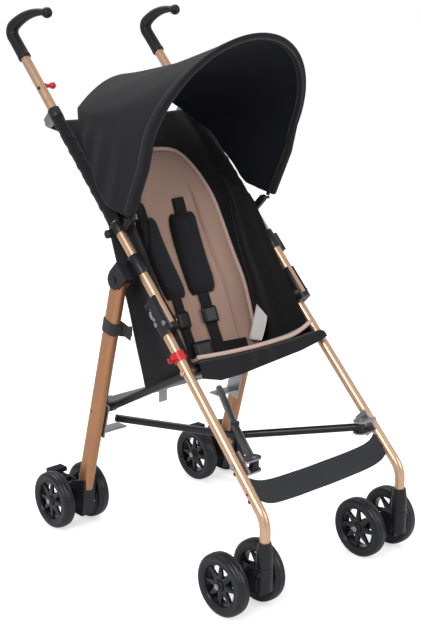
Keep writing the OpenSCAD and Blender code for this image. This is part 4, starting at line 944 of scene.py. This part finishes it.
def belt(beside, down):
    """A strip across the liner from one place to another, its half width measured down the back in shares."""
    way, across = mesh_of(unit(30), span(7))
    x = beside[0] + (beside[1] - beside[0]) * way
    f = down[0] + (down[1] - down[0]) * way + belt_half * across
    low = ground(f, x) + belt_lift
    return closed_pad(back_point(f, x, low + belt_thick), back_point(f, x, low))[:, ::-1]


pad_parts = [rolled(lying((0.36, 0.73), x, **pad_size)) for x in ((-68, -33), (32, 37))]
harness = skin("harness_shoulder_pads", pad_parts, [pad_black], "right_side")
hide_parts("harness")
fold_up(harness)
web_parts = [rolled(lying((0.29, 0.37), x, **upper_size)) for x in ((-78, -69), (29, 33))]
web_parts += [rolled(lying((0.72, 0.93), x, **lower_size)) for x in ((-33, -22), (36, 44))]
web_parts += [rolled(belt((-112, -8), (0.93, 0.925))), rolled(belt((8, 108), (0.925, 0.935)))]
webbing = skin("harness_webbing", web_parts, [web_black], "right_side")
fold_up(webbing)
buckle_parts = [rolled(lying((0.775, 0.83), x, **adjuster_size)) for x in ((-30, -28), (38, 40))]
buckle_parts += [rolled(lying((0.885, 0.965), (0, 0), **buckle_size))]
buckles = skin("harness_buckles", buckle_parts, [nylon_black], "right_side")
fold_up(buckles)
slot_parts = [rolled(lying((0.287, 0.293), x, **slot_size)) for x in ((-80, -80), (28, 28))]
slot_edges = skin("liner_strap_slots", slot_parts, [taupe_piping], "right_side")
fold_up(slot_edges)

# The sewn tag: a blank white label at the left edge of the liner, over the seat,
# with a slight bow in it.
tag_top = np.array([(147, 6, 446), (147, -26, 426.0)])
tag_foot = np.array([(116, -4, 379), (116, -42, 384.0)])
tag_bow = 3.0
down, wide = mesh_of(unit(13), unit(9))
upper_edge = tag_top[0] * (1 - wide[..., None]) + tag_top[1] * wide[..., None]
lower_edge = tag_foot[0] * (1 - wide[..., None]) + tag_foot[1] * wide[..., None]
tag_grid = upper_edge * (1 - down[..., None]) + lower_edge * down[..., None]
tag_grid[..., 0] += tag_bow * np.sin(np.pi * down) * np.sin(np.pi * wide * 0.8)
tag_white = woven("tag_white", (0.75, 0.75, 0.74), thread=0.0008, rough=0.6, spread=0.03, bump=0.08)
tag = skin("liner_tag", [open_sheet(tag_grid)], [tag_white], "right_side")
thicken(tag, 0.5, offset=0.0, smooth=0)
fold_up(tag)

# The loops on the rear legs: webbing sewn round each leg, with a tail towards the
# wing, so that the seat back can't swing forward.
leg_webbing = paint("leg_webbing", (0.014, 0.014, 0.016), 0.7, spread=0.25, grain=(500, 500, 1600), bump=0.3,
                    sheen=0.2)
dress(both("leg_strap"), leg_webbing)
tail_start = np.array([-183, 75, 444.0])
tail_run = np.array([24.5, -44, -4.0])
tail_half, tail_sag = 10.0, 4.0
way, across = mesh_of(unit(17), span(5))
tail_grid = tail_start + tail_run * way[..., None]
tail_grid[..., 2] += tail_half * across - tail_sag * np.sin(np.pi * way)
for side, turned, body in sides:
    tail_parts = [open_sheet(on_side(tail_grid, turned))]
    tail = skin(side + "_strap_tail", tail_parts, [web_black], body)
    thicken(tail, 1.4, offset=0.0, smooth=0)

# The rivets that show on the outer faces of the tubes: small domed heads, blacked,
# two on each front leg, one on each rear leg and one on each handle tube.
rivet_dome = [(1.0, 0.05), (1.0, 3.6), (0.2, 3.7), (-0.9, 3.2), (-1.7, 2.0), (-2.0, 0.05)]
leg_rivets = [(-185.6, -291.2, 253.3), (-186.6, -330.3, 213.5)]
other_rivets = [(-202.3, 107.0, 268.3), (-180.3, 288.0, 885.1)]
rivet_black = paint("rivet_black", (0.03, 0.028, 0.027), 0.35, metal=0.6, spread=0.1, grain=600, bump=0.02)
for side, turned, body in sides:
    heads = [lathe(rivet_dome, 20) + np.array(spot) for spot in leg_rivets + other_rivets]
    rivet_parts = [ringed(on_side(head, turned)) for head in heads]
    skin(side + "_rivet_heads", rivet_parts, [rivet_black], body, weld=True)
